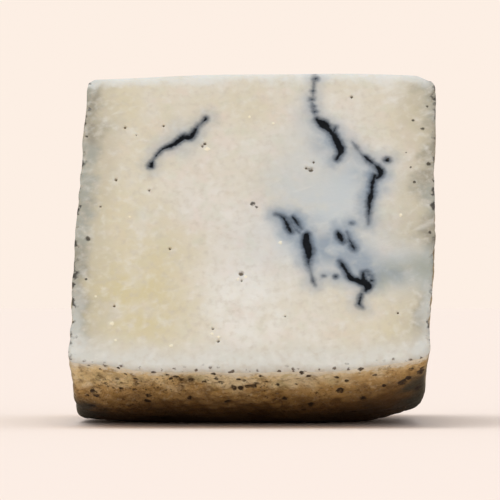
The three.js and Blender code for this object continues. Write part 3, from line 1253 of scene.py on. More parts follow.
    def rind_relief(self, points: np.ndarray, is_rind: np.ndarray,
                    fields: dict[str, np.ndarray]) -> np.ndarray:
        """The height of the rind over its smooth form.

        Args:
            points: Rows of x, y and z from the axis.
            is_rind: True on the rind.
            fields: What the materials read, to which the imprint, the pits and more are added.

        Returns:
            One height for each point.
        """
        r = np.hypot(points[:, 1], points[:, 2])
        from_wall = self.wheel.wall_radius(points[:, 0]) - r
        from_flank = np.minimum(
            points[:, 0] - self.wheel.flank_x(Flank.LEFT, r),
            self.wheel.flank_x(Flank.RIGHT, r) - points[:, 0],
        )
        from_rim = np.maximum(from_wall, from_flank)
        on_wall = (from_wall < from_flank).astype(float)
        print_ = 1 - (1 - self.imprint(points, on_wall)) * smooth(from_rim, *self.bare_rim)
        turn = np.arctan2(points[:, 1], -points[:, 2])
        past_front = (self.cuts.half + turn) * r
        known = is_rind & (from_wall < from_flank) & (past_front < self.pits.marked_width)
        pits = np.zeros(len(points))
        pits[is_rind] = self.pits.at(points[is_rind], self.rng)
        pits[known] = self.pits.marks(points[known, 0], past_front[known])
        fields["imprint"] = print_ * is_rind
        fields["pit"] = pits
        fields["rim_mm"] = from_rim * is_rind
        fields["inward_mm"] = (self.cuts.half - np.abs(turn)) * r * is_rind
        # The distance in from the cuts, shifted along x, sets how far the browner rind and the painted
        # shade towards the bottom of the wall reach.
        fields["browned_and_shaded_mm"] = fields["inward_mm"] + np.interp(points[:, 0], *zip(*self.browning_and_shade_shift))
        over = from_wall - from_flank
        fields["flat"] = smooth(over, -self.rim_blend, self.rim_blend) * is_rind
        crags = self.coarse_share * self.noise.at(points, self.coarse_crag)
        crags += self.fine_share * self.noise.at(points + 17, self.fine_crag)
        height = self.rind_waves.at(points) + self.crag_height * crags
        # The pressed paste swells a little where the knife let it go.
        flare = self.flare * smooth(fields["inward_mm"], self.flare_reach, 0)
        flare *= 1 - self.flare_ends * (points[:, 0] / self.wheel.right.rim) ** 2
        height += flare * (1 - fields["flat"])
        height += self.imprint_height * (print_ - self.imprint_level)
        return height - self.pits.depth * pits

    def tip_wear(self, points: np.ndarray) -> np.ndarray:
        """How far the blunt edge sags away from its slight arch and is worn near its two ends.

        Args:
            points: Rows of x, y and z from the axis.

        Returns:
            How far each point goes down.
        """
        x, z = points[:, 0], points[:, 2]
        height, reach = self.cuts.arch_height, self.cuts.arch_reach
        worn = height * (2 * (2 * (x - self.cuts.arch_x) / reach) ** 2 - 1)
        for flank, wear in ((Flank.LEFT, self.cuts.left_wear), (Flank.RIGHT, self.cuts.right_wear)):
            past = flank.value * x - self.wheel.face(flank).axis
            worn += wear.drop * smooth(past, -wear.length, 0)
        return worn * smooth(z, -self.cuts.worn_depth, 0)

    def build(self) -> bpy.types.Object:
        """Makes the mesh and its fields.

        Returns:
            The wedge's object, with no material yet.
        """
        skin = Skin()
        for cut in Cut:
            self.add_cut(skin, cut)
        self.add_tip(skin)
        for flank in Flank:
            self.add_flank(skin, flank)
        self.add_wall(skin)
        skin.check_closed()

        smooth_form = np.array(skin.points)
        is_cut, is_rind = np.array(skin.is_cut), np.array(skin.is_rind)
        fields = self.fields(smooth_form, np.array(skin.unrolled), is_cut)
        cut_normals = self.normals(skin, smooth_form, Side.PASTE)
        rind_normals = self.normals(skin, smooth_form, Side.RIND)
        rind_height = self.rind_relief(smooth_form, is_rind, fields)
        cut_height = self.knife_waves.at(smooth_form)
        cut_height -= self.groove_depth * smooth(fields["vein_mm"], *self.groove_side)
        cut_height -= self.eye_depth * np.sqrt(np.clip(fields["eye"], 0, 1))
        cut_height += self.crumb_height * smooth(fields["crumb"], *self.crumb_side)
        moved = smooth_form + cut_normals * (cut_height * is_cut)[:, None]
        moved += rind_normals * (rind_height * is_rind)[:, None]
        moved[:, 2] -= self.tip_wear(smooth_form)
        moved[:, 2] = np.maximum(moved[:, 2] + self.wheel.axis_height, 0)
        return self.mesh(skin, moved, fields)

    def normals(self, skin: Skin, points: np.ndarray, side: Side) -> np.ndarray:
        """Unit normals at the skin's points, from the faces of one side alone.

        Args:
            skin: The skin.
            points: Its points, as rows of x, y and z.
            side: Which faces count.

        Returns:
            One row for each point, of zeros where no such face meets.
        """
        total = np.zeros_like(points)
        for face, own in zip(skin.faces, skin.sides):
            if own == side.value:
                a, b, c = points[face[0]], points[face[1]], points[face[-1]]
                total[list(face)] += np.cross(b - a, c - a)
        length = np.linalg.norm(total, axis=1, keepdims=True)
        return np.divide(total, length, out=np.zeros_like(total), where=length > 0)

    def fields(self, points: np.ndarray, unrolled: np.ndarray,
               is_cut: np.ndarray) -> dict[str, np.ndarray]:
        """What the materials and the relief read at each point.

        Args:
            points: Rows of x, y and z from the axis.
            unrolled: Each point's place down the cuts, with no number on bare rind.
            is_cut: True on the cut faces and the blunt edge.

        Returns:
            Arrays by name. Names that end in _mm are distances in millimetres.
        """
        far = 30.0
        none = OUTSIDE_ALL_MARKS
        empty = {
            "vein_mm": far, "halo": 0, "stain": 0, "moss": 0, "fair": 0, "warm": 0, "eye": none,
            "crumb": none, "fleck": none, "flank_mm": 0, "wall_mm": 0, "tip_mm": far,
        }
        made = {name: np.full(len(points), float(value)) for name, value in empty.items()}
        half_tip = self.cuts.tip_length / 2
        made["tip_mm"][is_cut] = np.maximum(np.abs(unrolled[is_cut] + half_tip) - half_tip, 0)
        x = points[:, 0]
        for cut, marks in self.marbling.items():
            down = self.cuts.down(cut, unrolled)
            # A cut's marks reach over the blunt edge for a little way, and rind has none.
            here = is_cut & (np.nan_to_num(down, nan=-np.inf) > -self.marks_past_tip)
            at = np.stack([x[here], down[here]], 1)
            made["vein_mm"][here] = np.minimum(made["vein_mm"][here], marks.truffle(at))
            soft = {"halo": marks.halos, "stain": marks.stains, "moss": marks.moss,
                    "fair": marks.fair, "warm": marks.warm}
            for name, spots in soft.items():
                made[name][here] = np.maximum(made[name][here], marks.glow(at, spots))
            for name, spots in {"eye": marks.eyes, "crumb": marks.crumbs,
                                "fleck": marks.flecks}.items():
                made[name][here] = np.maximum(made[name][here], marks.hole(at, spots))
            r = np.hypot(points[here, 1], points[here, 2])
            edges = (at[:, 0] - self.wheel.flank_x(Flank.LEFT, r),
                     self.wheel.flank_x(Flank.RIGHT, r) - at[:, 0])
            made["flank_mm"][here] = np.minimum(*edges)
            made["wall_mm"][here] = self.wheel.wall_radius(at[:, 0]) - r
        return made

    def mesh(self, skin: Skin, points: np.ndarray,
             fields: dict[str, np.ndarray]) -> bpy.types.Object:
        """Turns the finished points and faces into a smooth mesh object.

        Args:
            skin: The skin, for its faces.
            points: Its points as they stand, in millimetres.
            fields: Values by name for the materials.

        Returns:
            The object.
        """
        mesh = bpy.data.meshes.new("cheese_wedge_dressed")
        mesh.from_pydata((points * MM).tolist(), [], skin.faces)
        mesh.polygons.foreach_set("material_index", np.array(skin.sides, np.int32))
        mesh.polygons.foreach_set("use_smooth", np.ones(len(skin.faces), bool))
        for name, values in fields.items():
            layer = mesh.attributes.new(name, "FLOAT", "POINT")
            layer.data.foreach_set("value", values.astype(np.float32))
        mesh.update()
        body = bpy.data.objects.new("cheese_wedge_dressed", mesh)
        bpy.context.scene.collection.objects.link(body)
        return body

    def dress(self, body: bpy.types.Object) -> None:
        """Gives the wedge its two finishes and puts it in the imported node's place.

        Args:
            body: The wedge's object.
        """
        body.data.materials.append(PasteFinish().material())
        body.data.materials.append(RindFinish().material())
        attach(body, "root")
        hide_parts(NODE)
        triangles = sum(len(polygon.vertices) - 2 for polygon in body.data.polygons)
        LOG.info("%s: %d triangles", body.name, triangles)


# ---------------------------------------------------------------------------------------------
# Finishes


def linear(colour: str) -> tuple[float, float, float, float]:
    """An sRGB colour such as "#dad3c6" as linear red, green, blue and 1.

    Args:
        colour: The colour in hex.

    Returns:
        The four numbers.
    """
    parts = [int(colour[i:i + 2], 16) / 255 for i in (1, 3, 5)]
    light = [p / 12.92 if p <= 0.04045 else ((p + 0.055) / 1.055) ** 2.4 for p in parts]
    return (*light, 1.0)


def add(tree: bpy.types.NodeTree, kind: str, inputs: dict | None = None,
        **settings: str | bool) -> bpy.types.Node:
    """Adds a shader node with its settings, values and links.

    Args:
        tree: The node tree.
        kind: The node's type.
        inputs: By input name or number, the value or the output to link.
        settings: Properties of the node.

    Returns:
        The node.
    """
    node = tree.nodes.new(kind)
    for name, value in settings.items():
        setattr(node, name, value)
    for name, value in (inputs or {}).items():
        if isinstance(value, bpy.types.NodeSocket):
            tree.links.new(value, node.inputs[name])
        else:
            node.inputs[name].default_value = value
    return node


def per_metre(size: float) -> float:
    """The texture scale at which a pattern's features are size millimetres apart."""
    return 1 / (size * MM)


@dataclass(frozen=True)
class Mottle:
    """A colour that shows in soft patches.

    size is how wide the patches are. The noise behind them is mostly from 0.3 to 0.7, and the
    colour comes in as the noise goes from low to high, up to a share of most.
    """

    colour: str
    size: float
    low: float
    high: float
    most: float = 1.0
    detail: float = 3
    warp: float = 0.3


class Painter:
    """Lays colours over each other in a material, each by its own mask."""

    def __init__(self, name: str) -> None:
        """Starts an empty material.

        Args:
            name: The material's name.
        """
        self.material = bpy.data.materials.new(name)
        self.material.use_nodes = True
        self.tree = self.material.node_tree
        self.tree.nodes.clear()
        self.place = add(self.tree, "ShaderNodeTexCoord").outputs["Object"]

    def field(self, name: str) -> bpy.types.NodeSocket:
        """One of the mesh's fields."""
        return add(self.tree, "ShaderNodeAttribute", attribute_name=name).outputs["Fac"]

    def noise(self, size: float, detail: float = 2, distortion: float = 0,
              place: bpy.types.NodeSocket | None = None) -> bpy.types.NodeSocket:
        """Noise with patches of a size in millimetres, mostly from 0.3 to 0.7.

        Args:
            size: How wide the patches are.
            detail: How many finer layers of noise lie over them.
            distortion: How much the patches are warped.
            place: The coordinates, or None for the object's own.

        Returns:
            The noise.
        """
        return add(self.tree, "ShaderNodeTexNoise", {
            "Vector": place or self.place,
            "Scale": per_metre(size),
            "Detail": detail,
            "Distortion": distortion,
        }).outputs["Fac"]

    def wander(self, size: float, reach: float) -> bpy.types.NodeSocket:
        """A soft random shift about 0, mostly within a quarter of the reach."""
        return self.maths("MULTIPLY", self.maths("SUBTRACT", self.noise(size, 3), 0.5), reach)

    def dots(self, size: float, rough: float,
             place: bpy.types.NodeSocket | None = None) -> bpy.types.NodeSocket:
        """The distance from the nearest of many scattered points, as a share of their spacing.

        Args:
            size: The spacing of the points in millimetres.
            rough: How much the distance varies at random, which makes the dots ragged.
            place: The coordinates, or None for the object's own.

        Returns:
            The distance.
        """
        near = add(self.tree, "ShaderNodeTexVoronoi", {
            "Vector": place or self.place, "Scale": per_metre(size), "Randomness": 1.0,
        }, feature="F1").outputs["Distance"]
        return self.maths("ADD", near, self.wander(0.31 * size, rough))

    def ramp(self, value: bpy.types.NodeSocket, low: float, high: float,
             top: float = 1.0) -> bpy.types.NodeSocket:
        """A mask that is 0 where value is low and top where it is high, with soft ends.

        Args:
            value: What the mask follows.
            low: The value at which the mask is 0.
            high: The value at which the mask is full.
            top: The full mask.

        Returns:
            The mask.
        """
        return add(self.tree, "ShaderNodeMapRange", {
            "Value": value, "From Min": low, "From Max": high, "To Max": top,
        }, interpolation_type="SMOOTHSTEP", clamp=True).outputs["Result"]

    def maths(self, operation: str, a: bpy.types.NodeSocket | float,
              b: bpy.types.NodeSocket | float) -> bpy.types.NodeSocket:
        """One step of arithmetic on two values or outputs."""
        return add(self.tree, "ShaderNodeMath", {0: a, 1: b}, operation=operation).outputs[0]

    def lay(self, under: bpy.types.NodeSocket | tuple, colour: bpy.types.NodeSocket | tuple,
            mask: bpy.types.NodeSocket | float) -> bpy.types.NodeSocket:
        """Lays a colour over another where the mask is above 0.

        Args:
            under: The colour below.
            colour: The colour on top.
            mask: How much of the upper one shows, from 0 to 1.

        Returns:
            The colour.
        """
        return add(self.tree, "ShaderNodeMix", {"Factor": mask, "A": under, "B": colour},
                   data_type="RGBA").outputs["Result"]

    def patches(self, m: Mottle,
                place: bpy.types.NodeSocket | None = None) -> bpy.types.NodeSocket:
        """The mask of a mottle's patches."""
        return self.ramp(self.noise(m.size, m.detail, m.warp, place), m.low, m.high, m.most)

    def mottled(self, base: bpy.types.NodeSocket | tuple, mottles: tuple[Mottle, ...],
                place: bpy.types.NodeSocket | None = None) -> bpy.types.NodeSocket:
        """Lays mottles over a colour, one after another.

        Args:
            base: The colour underneath.
            mottles: The mottles, the lowest first.
            place: The coordinates of their noise, or None for the object's own.

        Returns:
            The colour.
        """
        for m in mottles:
            base = self.lay(base, linear(m.colour), self.patches(m, place))
        return base

    def shaded(self, base: bpy.types.NodeSocket, name: str, m: Mottle) -> bpy.types.NodeSocket:
        """Lays a mottle over a colour where one of the mesh's fields is strong.

        Args:
            base: The colour underneath.
            name: The field.
            m: The mottle.

        Returns:
            The colour.
        """
        mask = self.maths("MULTIPLY", self.field(name), self.patches(m))
        return self.lay(base, linear(m.colour), mask)

    def finish(self, shader: bpy.types.Node) -> bpy.types.Material:
        """Links the shader and gives the material."""
        add(self.tree, "ShaderNodeOutputMaterial", {"Surface": shader.outputs[0]})
        return self.material


@dataclass(frozen=True)
class PasteFinish:
    """Cut sheep's-milk paste.

    The curd was pressed with chopped truffle between its layers, and a knife drew through it. The
    eye gets a fatty, faintly see-through ivory with blue-black ragged veins, a blue-grey stain
    round them, a few small holes darkened partly with painted shade, fine pale drag marks that are
    partly a painted sheen, a painted highlight along the blunt edge, and a dull tan border under
    the rind.
    """

    cream: str = "#d7d2c7"
    ivory: str = "#d2cbb8"
    straw: str = "#cdc29c"
    rose: str = "#d9ccc1"
    sage: str = "#c9cbb8"
    milk: str = "#dfddd4"
    fair: str = "#e2e0d7"
    pale: str = "#cfccc0"
    milky: str = "#d2d4ce"
    # Painted highlight along the blunt edge.
    tip_highlight: str = "#dde0dc"
    border: str = "#959080"
    bluish: str = "#a0a196"
    drying: str = "#bcb49b"
    whey: str = "#c3baa9"
    tan: str = "#b8a480"
    haze: str = "#bfc5c5"
    stain: str = "#8794a0"
    moss: str = "#999c8f"
    slate: str = "#3b4652"
    truffle: str = "#030405"
    truffle_light: str = "#0f141a"
    # The eyes' brown: partly their own tint, partly painted shade inside the holes.
    eye: str = "#5f5039"
    fleck: str = "#2e261c"
    crumb: str = "#efe7cd"
    rind_brown: str = "#3f3b36"
    speck: str = "#4a3420"

    def dragged(self, p: Painter) -> bpy.types.NodeSocket:
        """Coordinates drawn out along the knife's way, from the lower left to the upper right.

        Args:
            p: The material's painter.

        Returns:
            The coordinates.
        """
        return add(p.tree, "ShaderNodeMapping", {
            "Vector": p.place, "Rotation": (0, math.radians(-27), 0), "Scale": (7, 1, 1),
        }, vector_type="TEXTURE").outputs["Vector"]

    def ground(self, p: Painter) -> bpy.types.NodeSocket:
        """The paste's own colour, away from rind and truffle.

        Args:
            p: The material's painter.

        Returns:
            The colour.
        """
        base = p.mottled(linear(self.cream), (
            Mottle(self.ivory, 19, 0.36, 0.64),
            Mottle(self.rose, 7.3, 0.47, 0.7, 0.55),
            Mottle(self.sage, 5.1, 0.5, 0.72, 0.45),
        ))
        base = p.shaded(base, "warm", Mottle(self.straw, 9, 0.15, 0.55, detail=2, warp=0))
        return p.shaded(base, "fair", Mottle(self.fair, 6, 0.2, 0.6, warp=0))

    def borders(self, p: Painter, base: bpy.types.NodeSocket) -> bpy.types.NodeSocket:
        """Lays the zones along the rind, the curd's fine mottling, a painted highlight along the blunt
        edge and the edge by the rind over the ground.

        Args:
            p: The material's painter.
            base: The colour underneath.

        Returns:
            The colour.
        """
        wander = p.maths("ADD", p.wander(9, 13), p.wander(2.5, 3))
        from_flank = p.maths("ADD", p.field("flank_mm"), wander)
        base = p.lay(base, linear(self.drying), p.ramp(from_flank, 14, 4, 0.75))
        under_rind = p.lay(linear(self.border), linear(self.bluish), p.ramp(p.noise(16, 3), 0.42, 0.62))
        base = p.lay(base, under_rind, p.ramp(from_flank, 6.5, 1.5, 0.9))
        from_wall = p.maths("ADD", p.field("wall_mm"), p.wander(7, 7))
        base = p.lay(base, linear(self.pale), p.ramp(from_wall, 11, 3, 0.75))
        base = p.lay(base, linear(self.milky), p.ramp(from_wall, 7, 1.5, 0.4))
        low_edge = p.maths("MULTIPLY", p.ramp(from_flank, 4.5, 1, 0.5), p.ramp(from_wall, 34, 14))
        base = p.lay(base, linear(self.milky), low_edge)
        from_tip = p.maths("ADD", p.field("tip_mm"), p.maths("ADD", p.wander(6, 7), p.wander(2, 3)))
        base = p.mottled(base, (
            Mottle(self.whey, 1.9, 0.44, 0.8, 0.6, detail=5, warp=0),
            Mottle(self.milk, 2.7, 0.46, 0.84, 0.6, detail=5, warp=0),
        ))
        # Painted highlight: a pale strip along the blunt edge, where its rounded top would catch the
        # light from above.
        base = p.lay(base, linear(self.tip_highlight), p.ramp(from_tip, 3.4, -0.8, 0.62))
        at_wall = p.maths("ADD", p.field("wall_mm"), p.wander(2.6, 3))
        base = p.lay(base, linear(self.tan), p.ramp(at_wall, 0.5, -0.6, 0.4))
        specks = p.ramp(p.dots(2.1, 0.5), 0.3, 0.16, 0.85)
        specks = p.maths("MULTIPLY", specks, p.ramp(at_wall, 1.4, 0.3))
        base = p.lay(base, linear(self.speck), specks)
        at_flank = p.maths("ADD", p.field("flank_mm"), p.wander(3.4, 7))
        here_and_there = p.ramp(p.noise(2.1, 2), 0.44, 0.56)
        notches = p.maths("MULTIPLY", p.ramp(at_flank, 0.9, -0.2, 0.9), here_and_there)
        return p.lay(base, linear(self.rind_brown), notches)

    def truffled(self, p: Painter, base: bpy.types.NodeSocket) \
            -> tuple[bpy.types.NodeSocket, bpy.types.NodeSocket]:
        """Lays the haze, the pale drag streaks, the stains and the veins over the rest. The streaks are
        partly smeared fat and partly a painted sheen.

        Args:
            p: The material's painter.
            base: The colour underneath.

        Returns:
            The colour, and the mask of the veins' black middles.
        """
        base = p.shaded(base, "halo", Mottle(self.haze, 8, 0.1, 0.6, detail=4, warp=0))
        # Pale drag streaks along the knife's way: partly smeared fat, partly a painted sheen.
        streaks = p.ramp(p.noise(2.4, 2, 0.2, self.dragged(p)), 0.55, 0.78, 0.4)
        streaks = p.maths("MULTIPLY", streaks, p.ramp(p.noise(13, 2), 0.42, 0.62))
        base = p.lay(base, linear(self.milk), streaks)
        base = p.shaded(base, "moss", Mottle(self.moss, 5, 0.1, 0.6, 0.8))
        stain = p.maths("MULTIPLY", p.field("stain"), p.ramp(p.noise(4.4, 3, 0.3), 0.1, 0.55, 0.8))
        near = p.ramp(p.maths("ADD", p.field("vein_mm"), p.wander(3, 4)), 5, 0)
        soaked = p.maths("ADD", p.maths("MULTIPLY", p.field("halo"), 0.6), 0.37)
        stain = p.maths("MAXIMUM", stain, p.maths("MULTIPLY", near, soaked))
        base = p.lay(base, linear(self.stain), stain)
        ragged = p.maths("ADD", p.wander(2.6, 1.6), p.wander(0.9, 0.5))
        vein = p.maths("ADD", p.field("vein_mm"), ragged)
        base = p.lay(base, linear(self.slate), p.ramp(vein, 1.6, -0.2, 0.87))
        core = p.ramp(vein, 0.24, -0.3)
        black = p.lay(linear(self.truffle), linear(self.truffle_light), p.noise(0.8, 2))
        return p.lay(base, black, core), core

    def holed(self, p: Painter, base: bpy.types.NodeSocket) -> bpy.types.NodeSocket:
        """Lays the crumbs, the eyes and the flecks over the rest. The eyes' brown is partly their own
        tint and partly painted shade inside the holes.

        Args:
            p: The material's painter.
            base: The colour underneath.

        Returns:
            The colour.
        """
        ragged = p.wander(0.7, 1.6)
        kinds = (
            ("crumb", self.crumb, 0.5, 0.75),
            ("eye", self.eye, 0.6, 0.85),
            ("fleck", self.fleck, 0.5, 0.85),
        )
        for name, colour, full_at, most in kinds:
            mark = p.maths("ADD", p.field(name), ragged)
            base = p.lay(base, linear(colour), p.ramp(mark, -0.1, full_at, most))
        return base

    def material(self) -> bpy.types.Material:
        """Builds the material.

        Returns:
            The material.
        """
        p = Painter("cut_sheep_milk_paste")
        colour, core = self.truffled(p, self.borders(p, self.ground(p)))
        colour = self.holed(p, colour)
        streaks = p.noise(1.1, 3, 0.2, self.dragged(p))
        grain = p.noise(0.75, 3, 0.3)
        height = p.maths("ADD", p.maths("MULTIPLY", streaks, 0.7), p.maths("MULTIPLY", grain, 0.4))
        bump = add(p.tree, "ShaderNodeBump", {
            "Strength": 0.6, "Distance": 0.12 * MM, "Height": height,
        })
        rough = p.maths("ADD", p.ramp(p.noise(4, 3), 0.3, 0.7, 0.16), 0.44)
        rough = p.maths("ADD", rough, p.maths("MULTIPLY", core, 0.2))
        return p.finish(add(p.tree, "ShaderNodeBsdfPrincipled", {
            "Base Color": colour,
            "Roughness": rough,
            "Normal": bump.outputs[0],
            "IOR": 1.46,
            "Specular IOR Level": 0.12,
            "Subsurface Weight": 0.25,
            "Subsurface Radius": (1.0, 0.75, 0.5),
            "Subsurface Scale": 0.9 * MM,
        }))


@dataclass(frozen=True)
class RindFinish:
    """Natural brushed rind.

    It dried on a cloth and was brushed while it ripened, so the eye gets a dull tan and ochre skin
    with olive-grey mould, dark brown flecks and pits that gather in patches, and the cloth's
    print. The wall is buff near the cuts and goes over to ochre, brown and umber towards the
    bottom, where the wedge rests: partly a browner rind, partly painted shade. Near the rims at the
    bottom corners, dark mould and painted shade lie together. The flat faces are greyer.
    """

    buff: str = "#ecdcb4"
    tan: str = "#dfc794"
    bloom: str = "#f0e4c6"
    pale: str = "#e2dbc8"
    olive: str = "#b5a97a"
    ochre: str = "#b08845"
    brown: str = "#5e3f17"
    # Umber: the deepest of the painted shade and browner rind at the bottom of the wall.
    umber: str = "#2d1b09"
    taupe: str = "#a8987b"
    drab: str = "#857a63"
    ash: str = "#b6ad9a"
    sand: str = "#ccb78e"
    # Dark olive-black near the rims at the bottom of the wall: partly mould, partly painted shade in the
    # bottom corners.
    mould: str = "#2e2e22"
    fleck: str = "#28190b"

    def rolled(self, p: Painter) -> bpy.types.NodeSocket:
        """Coordinates drawn out along the way that the wheel rolled over its board.

        Args:
            p: The material's painter.

        Returns:
            The coordinates.
        """
        return add(p.tree, "ShaderNodeMapping", {
            "Vector": p.place, "Scale": (1, 1.8, 1),
        }, vector_type="TEXTURE").outputs["Vector"]

    def weathered(self, p: Painter, base: bpy.types.NodeSocket,
                  place: bpy.types.NodeSocket) -> bpy.types.NodeSocket:
        """Lays brown blotches, worm-like lines and flecks over a ground colour.

        Args:
            p: The material's painter.
            base: The ground colour.
            place: The coordinates of the patterns.

        Returns:
            The colour.
        """
        base = p.mottled(base, (
            Mottle(self.brown, 4.3, 0.54, 0.72, 0.6, detail=4),
            Mottle(self.brown, 1.5, 0.52, 0.74, 0.5, detail=4, warp=0.2),
            Mottle(self.bloom, 1.3, 0.54, 0.74, 0.35, detail=4, warp=0.2),
        ), place)
        patch = p.ramp(p.noise(8, 3, 0.3, place), 0.42, 0.62)
        line = p.maths("ABSOLUTE", p.maths("SUBTRACT", p.noise(3.4, 4, 0, place), 0.5), 0)
        lines = p.maths("MULTIPLY", p.ramp(line, 0.07, 0.0, 0.4), patch)
        base = p.lay(base, linear(self.brown), lines)
        for size, radius in ((2.9, 0.24), (1.6, 0.27), (1.0, 0.27)):
            dots = p.ramp(p.dots(size, 0.8, place), radius, radius - 0.14, 0.7)
            base = p.lay(base, linear(self.fleck), p.maths("MULTIPLY", dots, patch))
        return base

    def wall(self, p: Painter) -> bpy.types.NodeSocket:
        """The wall's colour.

        Args:
            p: The material's painter.

        Returns:
            The colour.
        """
        place = self.rolled(p)
        base = p.mottled(linear(self.buff), (
            Mottle(self.tan, 9, 0.4, 0.6),
            Mottle(self.olive, 5.1, 0.48, 0.66, 0.6, detail=4, warp=0.4),
            Mottle(self.bloom, 3.1, 0.54, 0.7, 0.5, warp=0.4),
        ), place)
        # Ochre, brown and umber come in further from the cuts, so the wall grows darker towards the
        # bottom, where the wedge rests: partly a browner rind, partly painted shade.
        inward = p.maths("ADD", p.field("browned_and_shaded_mm"), p.wander(7, 20))
        base = p.lay(base, linear(self.ochre), p.ramp(inward, 3, 13, 0.8))
        base = self.weathered(p, base, place)
        base = p.lay(base, linear(self.brown), p.ramp(inward, 11, 26, 0.85))
        base = p.lay(base, linear(self.umber), p.ramp(inward, 19, 40, 0.75))
        by_cut = p.maths("ADD", p.field("inward_mm"), p.maths("ADD", p.wander(3, 7), p.wander(1, 5)))
        return p.lay(base, linear(self.pale), p.ramp(by_cut, 3.2, 0.6, 0.92))

    def flats(self, p: Painter) -> bpy.types.NodeSocket:
        """The flat faces' colour.

        Args:
            p: The material's painter.

        Returns:
            The colour.
        """
        base = p.mottled(linear(self.taupe), (
            Mottle(self.drab, 24, 0.38, 0.62, detail=4),
            Mottle(self.olive, 11, 0.46, 0.68, 0.55, detail=4),
            Mottle(self.sand, 16, 0.48, 0.66, 0.6, detail=4),
            Mottle(self.ash, 6.1, 0.5, 0.72, 0.6, detail=4),
        ))
        return self.weathered(p, base, p.place)

    def colour(self, p: Painter) -> bpy.types.NodeSocket:
        """The rind's colour.

        Args:
            p: The material's painter.

        Returns:
            The colour.
        """
        base = p.lay(self.wall(p), self.flats(p), p.field("flat"))
        # Near the rims and far from the cuts, in the wall's bottom corners: dark mould with painted
        # shade.
        from_rim = p.maths("ADD", p.field("rim_mm"), p.wander(6, 18))
        low_rim_mould_and_shade = p.maths("MULTIPLY", p.ramp(from_rim, 9, 2, 0.85), p.ramp(p.field("browned_and_shaded_mm"), 13, 24))
        base = p.lay(base, linear(self.mould), low_rim_mould_and_shade)
        faint = p.ramp(p.noise(9, 3), 0.3, 0.7, 0.6)
        grooves = p.maths("MULTIPLY", p.ramp(p.field("imprint"), 0.7, 0.15), faint)
        base = p.lay(base, linear(self.brown), grooves)
        pits = p.maths("MULTIPLY", p.field("pit"), p.maths("ADD", p.wander(0.8, 3.6), 1.15))
        filled = p.maths("MULTIPLY", p.ramp(pits, 0.06, 0.42, 0.95), p.ramp(p.noise(2.3, 2), 0.1, 0.55))
        return p.lay(base, linear(self.fleck), filled)

    def material(self) -> bpy.types.Material:
        """Builds the material.

        Returns:
            The material.
        """
        p = Painter("natural_brushed_rind")
        grain = p.maths("ADD", p.noise(0.6, 4, 0.4), p.maths("MULTIPLY", p.noise(1.8, 3, 0.3), 1.5))
        bump = add(p.tree, "ShaderNodeBump", {
            "Strength": 0.9, "Distance": 0.6 * MM, "Height": grain,
        })
        rough = p.maths("ADD", p.ramp(p.noise(3, 3), 0.3, 0.7, 0.15), 0.74)
        return p.finish(add(p.tree, "ShaderNodeBsdfPrincipled", {
            "Base Color": self.colour(p),
            "Roughness": rough,
            "Normal": bump.outputs[0],
            "IOR": 1.45,
            "Specular IOR Level": 0.3,
        }))


@dataclass(frozen=True)
class BackdropFinish:
    """Matte paper sweep, warm white."""

    paper: str = "#f1e3d7"

    def material(self) -> bpy.types.Material:
        """Builds the material."""
        p = Painter("matte_backdrop_paper")
        return p.finish(add(p.tree, "ShaderNodeBsdfDiffuse", {"Color": linear(self.paper)}))


# ---------------------------------------------------------------------------------------------
# Studio


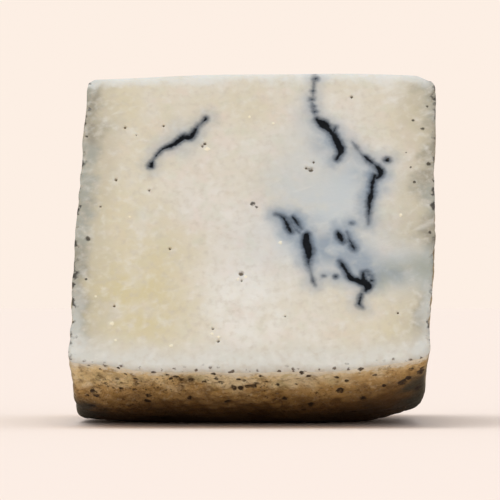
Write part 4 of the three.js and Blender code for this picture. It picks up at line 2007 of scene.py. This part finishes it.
@dataclass(frozen=True)
class Studio:
    """Floor, light and camera."""

    backdrop: BackdropFinish = BackdropFinish()
    floor_radius: float = 9.0
    floor_corners: int = 96
    horizon: str = "#fdefe4"
    sky: str = "#f6f8ff"
    sky_strength: float = 0.8
    sky_blend: tuple[float, float] = (0.06, 0.5)
    sun_strength: float = 1.15
    sun_width: float = math.radians(60)
    sun_from: tuple[float, float, float] = (-0.25, -0.15, 1.0)
    distance: float = 0.976
    eye_height: float = 0.0349
    eye_x: float = 0.002
    aim: tuple[float, float, float] = (-0.0015, 0.0, 0.0478)
    view_width: float = 0.1395
    sensor: float = 36.0

    def floor(self) -> None:
        """Lays a wide round floor."""
        turns = np.linspace(0, 2 * math.pi, self.floor_corners, endpoint=False)
        rim = [(self.floor_radius * math.cos(a), self.floor_radius * math.sin(a), 0) for a in turns]
        mesh = bpy.data.meshes.new("floor")
        mesh.from_pydata(rim, [], [list(range(len(rim)))])
        mesh.materials.append(self.backdrop.material())
        floor = bpy.data.objects.new("floor", mesh)
        bpy.context.scene.collection.objects.link(floor)

    def world(self) -> None:
        """Lights the set from all round: the paper's colour at the horizon, white above."""
        world = bpy.data.worlds.new("soft_box_room")
        bpy.context.scene.world = world
        world.use_nodes = True
        tree = world.node_tree
        tree.nodes.clear()
        up = add(tree, "ShaderNodeTexCoord").outputs["Generated"]
        height = add(tree, "ShaderNodeSeparateXYZ", {0: up}).outputs["Z"]
        share = add(tree, "ShaderNodeMapRange", {
            "Value": height, "From Min": self.sky_blend[0], "From Max": self.sky_blend[1],
        }, interpolation_type="SMOOTHSTEP", clamp=True).outputs["Result"]
        top = [self.sky_strength * c for c in linear(self.sky)[:3]]
        colour = add(tree, "ShaderNodeMix", {
            "Factor": share, "A": linear(self.horizon), "B": (*top, 1),
        }, data_type="RGBA").outputs["Result"]
        light = add(tree, "ShaderNodeBackground", {"Color": colour})
        add(tree, "ShaderNodeOutputWorld", {"Surface": light.outputs[0]})

    def sun(self) -> None:
        """Hangs one wide soft light above, in front and to the left."""
        lamp = bpy.data.lights.new("overhead_softbox", "SUN")
        lamp.energy = self.sun_strength
        lamp.angle = self.sun_width
        holder = bpy.data.objects.new("overhead_softbox", lamp)
        holder.rotation_euler = Vector(self.sun_from).to_track_quat("Z", "Y").to_euler()
        bpy.context.scene.collection.objects.link(holder)

    def camera(self) -> None:
        """Sets the camera nearly level with the wedge, a metre in front of it."""
        lens = bpy.data.cameras.new("camera")
        lens.sensor_width = self.sensor
        lens.lens = self.sensor * self.distance / self.view_width
        lens.clip_start, lens.clip_end = 0.05, 50
        camera = bpy.data.objects.new("camera", lens)
        camera.location = (self.eye_x, -self.distance, self.eye_height)
        look = Vector(self.aim) - camera.location
        camera.rotation_euler = look.to_track_quat("-Z", "Y").to_euler()
        bpy.context.scene.collection.objects.link(camera)
        bpy.context.scene.camera = camera

    def build(self) -> None:
        """Sets up the whole studio."""
        self.floor()
        self.world()
        self.sun()
        self.camera()
        view = bpy.context.scene.view_settings
        view.view_transform = "Standard"
        LOG.info("studio: floor, world, one soft light and the camera")


def main() -> None:
    """Builds the wedge and the studio round it."""
    logging.basicConfig(level=logging.INFO, format="%(name)s: %(message)s")
    body = WedgeBody()
    body.dress(body.build())
    Studio().build()


if __name__ == "__main__":
    main()
